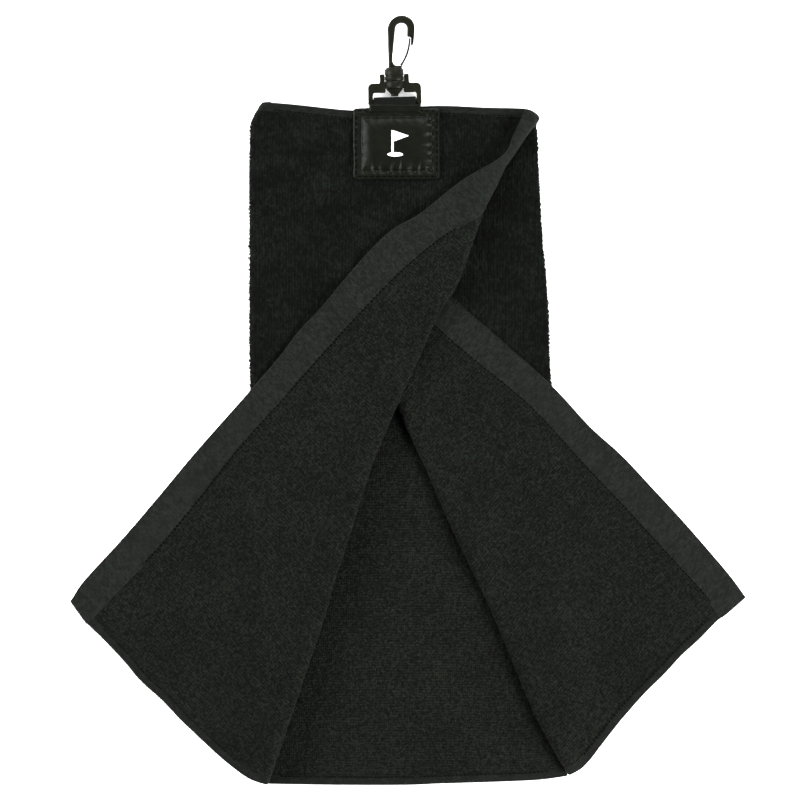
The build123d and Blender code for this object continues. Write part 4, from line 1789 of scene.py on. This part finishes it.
@dataclass
class Clip:
    """The moulded clip: frame with bar and boss, snap hook and springy gate."""

    finishes: Finishes
    axes: BarFrame = field(default_factory=frame_bar)
    crisp: float = 38.0
    hook_thick: float = 4.8
    frame_thick: float = 4.4
    gate_thick: float = 3.6
    lean_from: float = 22.0
    lean: float = 0.058
    gate_root: Point = (4.15, 21.3)
    gate_tip: Point = (8.8, 37.05)

    def moulding(self, outline: Sequence[Point], thick: float, edge: float) -> Object:
        """Fills a flat outline to a thickness, with rounded edges.

        Args:
            outline: Closed outline in the clip's axes.
            thick: Thickness, half above and half below.
            edge: Radius of the rounded edges.

        Returns:
            A mesh object in the clip's axes.
        """
        curve = bpy.data.curves.new("moulding", "CURVE")
        curve.dimensions, curve.fill_mode = "2D", "BOTH"
        spline = curve.splines.new("POLY")
        spline.points.add(len(outline) - 1)
        for point, (x, y) in zip(spline.points, outline):
            point.co = (x, y, 0, 1)
        spline.use_cyclic_u = True
        curve.extrude, curve.bevel_depth = thick / 2 - edge, edge
        curve.offset, curve.bevel_resolution = -edge, 3
        obj = link("moulding", curve)
        bpy.context.view_layer.update()
        shaped = obj.evaluated_get(bpy.context.evaluated_depsgraph_get())
        mesh = bpy.data.meshes.new_from_object(shaped)
        bpy.data.objects.remove(obj)
        return link("moulding", mesh)

    def turned(self, profile: Sequence[Point], axis: str = "Y", sides: int = 64) -> Object:
        """Turns a profile round an axis of the clip.

        Args:
            profile: Radius and distance along the axis, from one end to the other.
            axis: Y for the swivel's axis, X for the bar's.
            sides: Number of sides.

        Returns:
            A mesh object in the clip's axes.
        """
        verts, faces = [], []
        for r, a in profile:
            for k in range(sides):
                c, s = math.cos(2 * math.pi * k / sides), math.sin(2 * math.pi * k / sides)
                verts.append((r * c, a, r * s) if axis == "Y" else (a, r * c, r * s))
        last = (len(profile) - 1) * sides
        for p in range(0, last, sides):
            for k in range(sides):
                j, q = (k + 1) % sides, p + sides
                faces.append([q + k, q + j, p + j, p + k])
        faces += [list(range(sides)), [last + k for k in reversed(range(sides))]]
        if axis == "X":
            faces = [f[::-1] for f in faces]
        mesh = bpy.data.meshes.new("turned")
        mesh.from_pydata(verts, [], faces)
        return link("moulding", mesh)

    def join(self, name: str, parts: Sequence[Object], body: Body, node: str) -> Object:
        """Joins a moulding's parts into one dressed piece.

        Args:
            name: Name of the piece.
            parts: Its parts, in the clip's axes.
            body: The body that it rides on.
            node: The node that it stands for.

        Returns:
            The piece, in metres.
        """
        obj = mesh_piece(name, *gathered(parts, self.axes.matrix()))
        sharp_by_angle(obj, math.radians(self.crisp))
        self.finishes.dress(obj, Slot.PLASTIC)
        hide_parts(node)
        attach(obj, body.value)
        LOG.info("%s: %d faces", name, len(obj.data.polygons))
        return obj

    def leaned(self, spot: Sequence[float]) -> Point:
        """A place of the hook, which leans a little to one side above its collar."""
        return spot[0] + max(spot[1] - self.lean_from, 0) * self.lean, spot[1]

    def build_frame(self) -> None:
        """Builds the frame: rails, beam, ears, boss and the bar in the webbing."""
        slot, rail, top, corner, foot = 12.8, 15.65, 10.9, 2.8, 1.425
        half = [
            (5.68, 12.0), (5.68, 15.5), (6.2, 16.2), (8.1, 16.2), (8.6, 15.7), (8.6, 11.4), (9.0, 10.9),
            *arc_points((rail - corner, top - corner), corner, 90, 0, 8), (rail, -0.4),
            *arc_points((rail - foot, -0.8), foot, 0, -180, 10),
            (slot, 4.6), (slot - 0.7, 5.3), (5.9, 5.3), (5.3, 5.9), (5.3, 7.7),
        ]
        outline = [(0, 12.0), *half, (0, 7.7), *[(-x, y) for x, y in half[::-1]]]
        boss = [(4.9, 7.7), (5.4, 7.85), (5.6, 8.2), (5.6, 11.5), (5.4, 11.85), (4.9, 12.0), (2.45, 12.0)]
        bar = [(1.2, -13.6), (1.75, -13.0), (1.75, 13.0), (1.2, 13.6)]
        parts = [self.moulding(outline, self.frame_thick, 0.5), self.turned(boss), self.turned(bar, "X", 40)]
        self.join("frame_moulding", parts, Body.FRAME, "clip_frame")

    def build_hook(self) -> None:
        """Builds the snap hook: snap head, post, collar and the hook with its nose."""
        profile = [
            (1.9, 3.1), (2.2, 3.4), (2.2, 4.2), (4.8, 7.1), (5.0, 7.35), (4.7, 7.5), (2.4, 7.5),
            (2.4, 12.2), (4.9, 12.2), (5.4, 12.35), (5.6, 12.7), (5.6, 14.6), (5.25, 14.9), (5.25, 15.5),
            (5.6, 15.8), (5.6, 18.4), (5.35, 18.9), (4.4, 19.9), (3.9, 20.1),
        ]
        base, middle, outer, inner, high = 21.1, 3.6, 8.0, 3.6, 42.6
        side, tip = middle + outer, self.gate_tip[1]
        nose, bend = self.gate_tip[0] + 0.75, middle + inner
        outline = [
            (-3.1, base - 1.6), (-3.15, base), *arc_points((middle, high), outer, 180, 0, 34),
            (side, 40.5), (side - 0.35, 34.2), (side - 1.1, tip - 4.4),
            (nose + 0.25, tip - 4.4), (nose, tip - 3.3), (nose, tip + 0.2),
            (bend + 1.6, tip + 0.75), (bend + 0.25, 38.0), (bend, 39.0),
            *arc_points((middle, high), inner, 0, 180, 22),
            (-1.0, base + 5.0), (-0.85, base + 2.7), (-0.3, base + 1.2), (0.7, base + 0.25),
            (2.1, base), (4.6, base), (4.8, base - 0.4), (4.6, base - 1.6),
        ]
        hook = self.moulding([self.leaned(p) for p in outline], self.hook_thick, 0.95)
        self.join("hook_moulding", [self.turned(profile), hook], Body.HOOK, "hook_body")

    def build_gate(self) -> None:
        """Builds the springy gate leaf."""
        root, tip = np.array(self.gate_root), np.array(self.gate_tip)
        bow = np.array((1.2, -0.6))
        t = np.linspace(0, 1, 15)[:, None]
        line = root * (1 - t) ** 2 + 2 * ((root + tip) / 2 + 2 * bow) * t * (1 - t) + tip * t**2
        wide = np.interp(t[:, 0], [0, 0.12, 0.9, 1], [0.8, 0.6, 0.55, 0.45])[:, None]
        outline = [self.leaned(p) for p in (*moved(line, wide), *moved(line, -wide)[::-1])]
        self.join("gate_leaf", [self.moulding(outline, self.gate_thick, 0.22)], Body.GATE, "hook_gate")

    def build(self) -> None:
        """Builds the clip's three mouldings."""
        self.build_frame()
        self.build_hook()
        self.build_gate()


def arc_points(centre: Point, radius: float, start: float, end: float, count: int) -> list[Point]:
    """Places along an arc.

    Args:
        centre: Centre of the arc.
        radius: Its radius.
        start: First angle, in degrees.
        end: Last angle, in degrees.
        count: Number of places.

    Returns:
        The places, ends included.
    """
    angles = np.radians(np.linspace(start, end, count))
    return [(centre[0] + radius * math.cos(a), centre[1] + radius * math.sin(a)) for a in angles]


def sharp_by_angle(obj: Object, limit: float) -> None:
    """Keeps edges steeper than a limit crisp in a smooth mesh."""
    chosen = {"selected_editable_objects": [obj], "selected_objects": [obj]}
    with bpy.context.temp_override(object=obj, active_object=obj, **chosen):
        bpy.ops.object.shade_smooth_by_angle(angle=limit)


# ---------------------------------------------------------------- studio


@dataclass
class Studio:
    """Pale floor, soft light and a camera straight above."""

    view_width: float = 0.472
    view_centre: Point = (-0.0059, 0.0254)
    distance: float = 4.0
    sky: float = 0.32
    sensor: float = 36.0
    floor_half: float = 6.0
    floor_rows: int = 24
    floor_depth: float = 0.0006
    floor_glow: float = 0.4

    def build_floor(self) -> None:
        """Lays a pale, slightly mottled floor."""
        mesh = bpy.data.meshes.new("floor")
        spots = np.linspace(-self.floor_half, self.floor_half, self.floor_rows)
        index = np.arange(len(spots) ** 2).reshape(len(spots), -1)
        corners = [index[:-1, :-1], index[1:, :-1], index[1:, 1:], index[:-1, 1:]]
        verts = [(x, y, -self.floor_depth) for x, y in zip(*grid(spots, spots))]
        mesh.from_pydata(verts, [], np.stack(corners, axis=-1).reshape(-1, 4).tolist())
        floor = link("floor", mesh)
        b = Bench("pale_floor")
        cloud = b.noise(b.solid(), 1.5, 2.0)
        colour = b.ramp(cloud, [(0.3, (0.90, 0.90, 0.90)), (0.7, (0.93, 0.93, 0.93))])
        b.set(Base_Color=colour, Roughness=0.7)
        b.set(Emission_Color=(1.0, 1.0, 1.0, 1.0), Emission_Strength=self.floor_glow)
        mesh.materials.append(b.material)

    def light(self, name: str, at: Triple, size: float, power: float) -> None:
        """Hangs a soft lamp that faces the towel.

        Args:
            name: Name of the lamp.
            at: Its place, in metres.
            size: Its side.
            power: Its power, in watts.
        """
        lamp = bpy.data.lights.new(name, "AREA")
        lamp.shape, lamp.size, lamp.energy = "SQUARE", size, power
        obj = link(name, lamp)
        obj.location = at
        obj.rotation_mode = "QUATERNION"
        obj.rotation_quaternion = Vector(at).to_track_quat("Z", "Y")

    def build(self) -> None:
        """Sets the floor, the light and the camera."""
        self.build_floor()
        world = bpy.data.worlds.new("studio")
        world.use_nodes = True
        background = world.node_tree.nodes["Background"].inputs
        background[0].default_value, background[1].default_value = (1, 1, 1, 1), self.sky
        scene = bpy.context.scene
        scene.world = world
        scene.view_settings.view_transform = "Standard"
        self.light("key", (1.55, -1.0, 0.95), 0.9, 150)
        self.light("side", (-1.85, 0.35, 0.95), 0.9, 122)
        self.light("back", (0.5, 1.8, 1.3), 1.1, 84)
        lens = bpy.data.cameras.new("camera")
        lens.sensor_width, lens.clip_end = self.sensor, 50
        lens.lens = self.sensor * self.distance / self.view_width
        scene.camera = link("camera", lens)
        scene.camera.location = (*self.view_centre, self.distance)


def main() -> None:
    """Builds the towel's sub-assemblies in order."""
    logging.basicConfig(level=logging.INFO, format="%(message)s")
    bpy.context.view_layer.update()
    finishes = Finishes()
    cloth = Cloth(Lay(), finishes)
    cloth.build()
    cloth.mount()
    Patch(finishes).build()
    Clip(finishes).build()
    Studio().build()


if __name__ == "__main__":
    main()
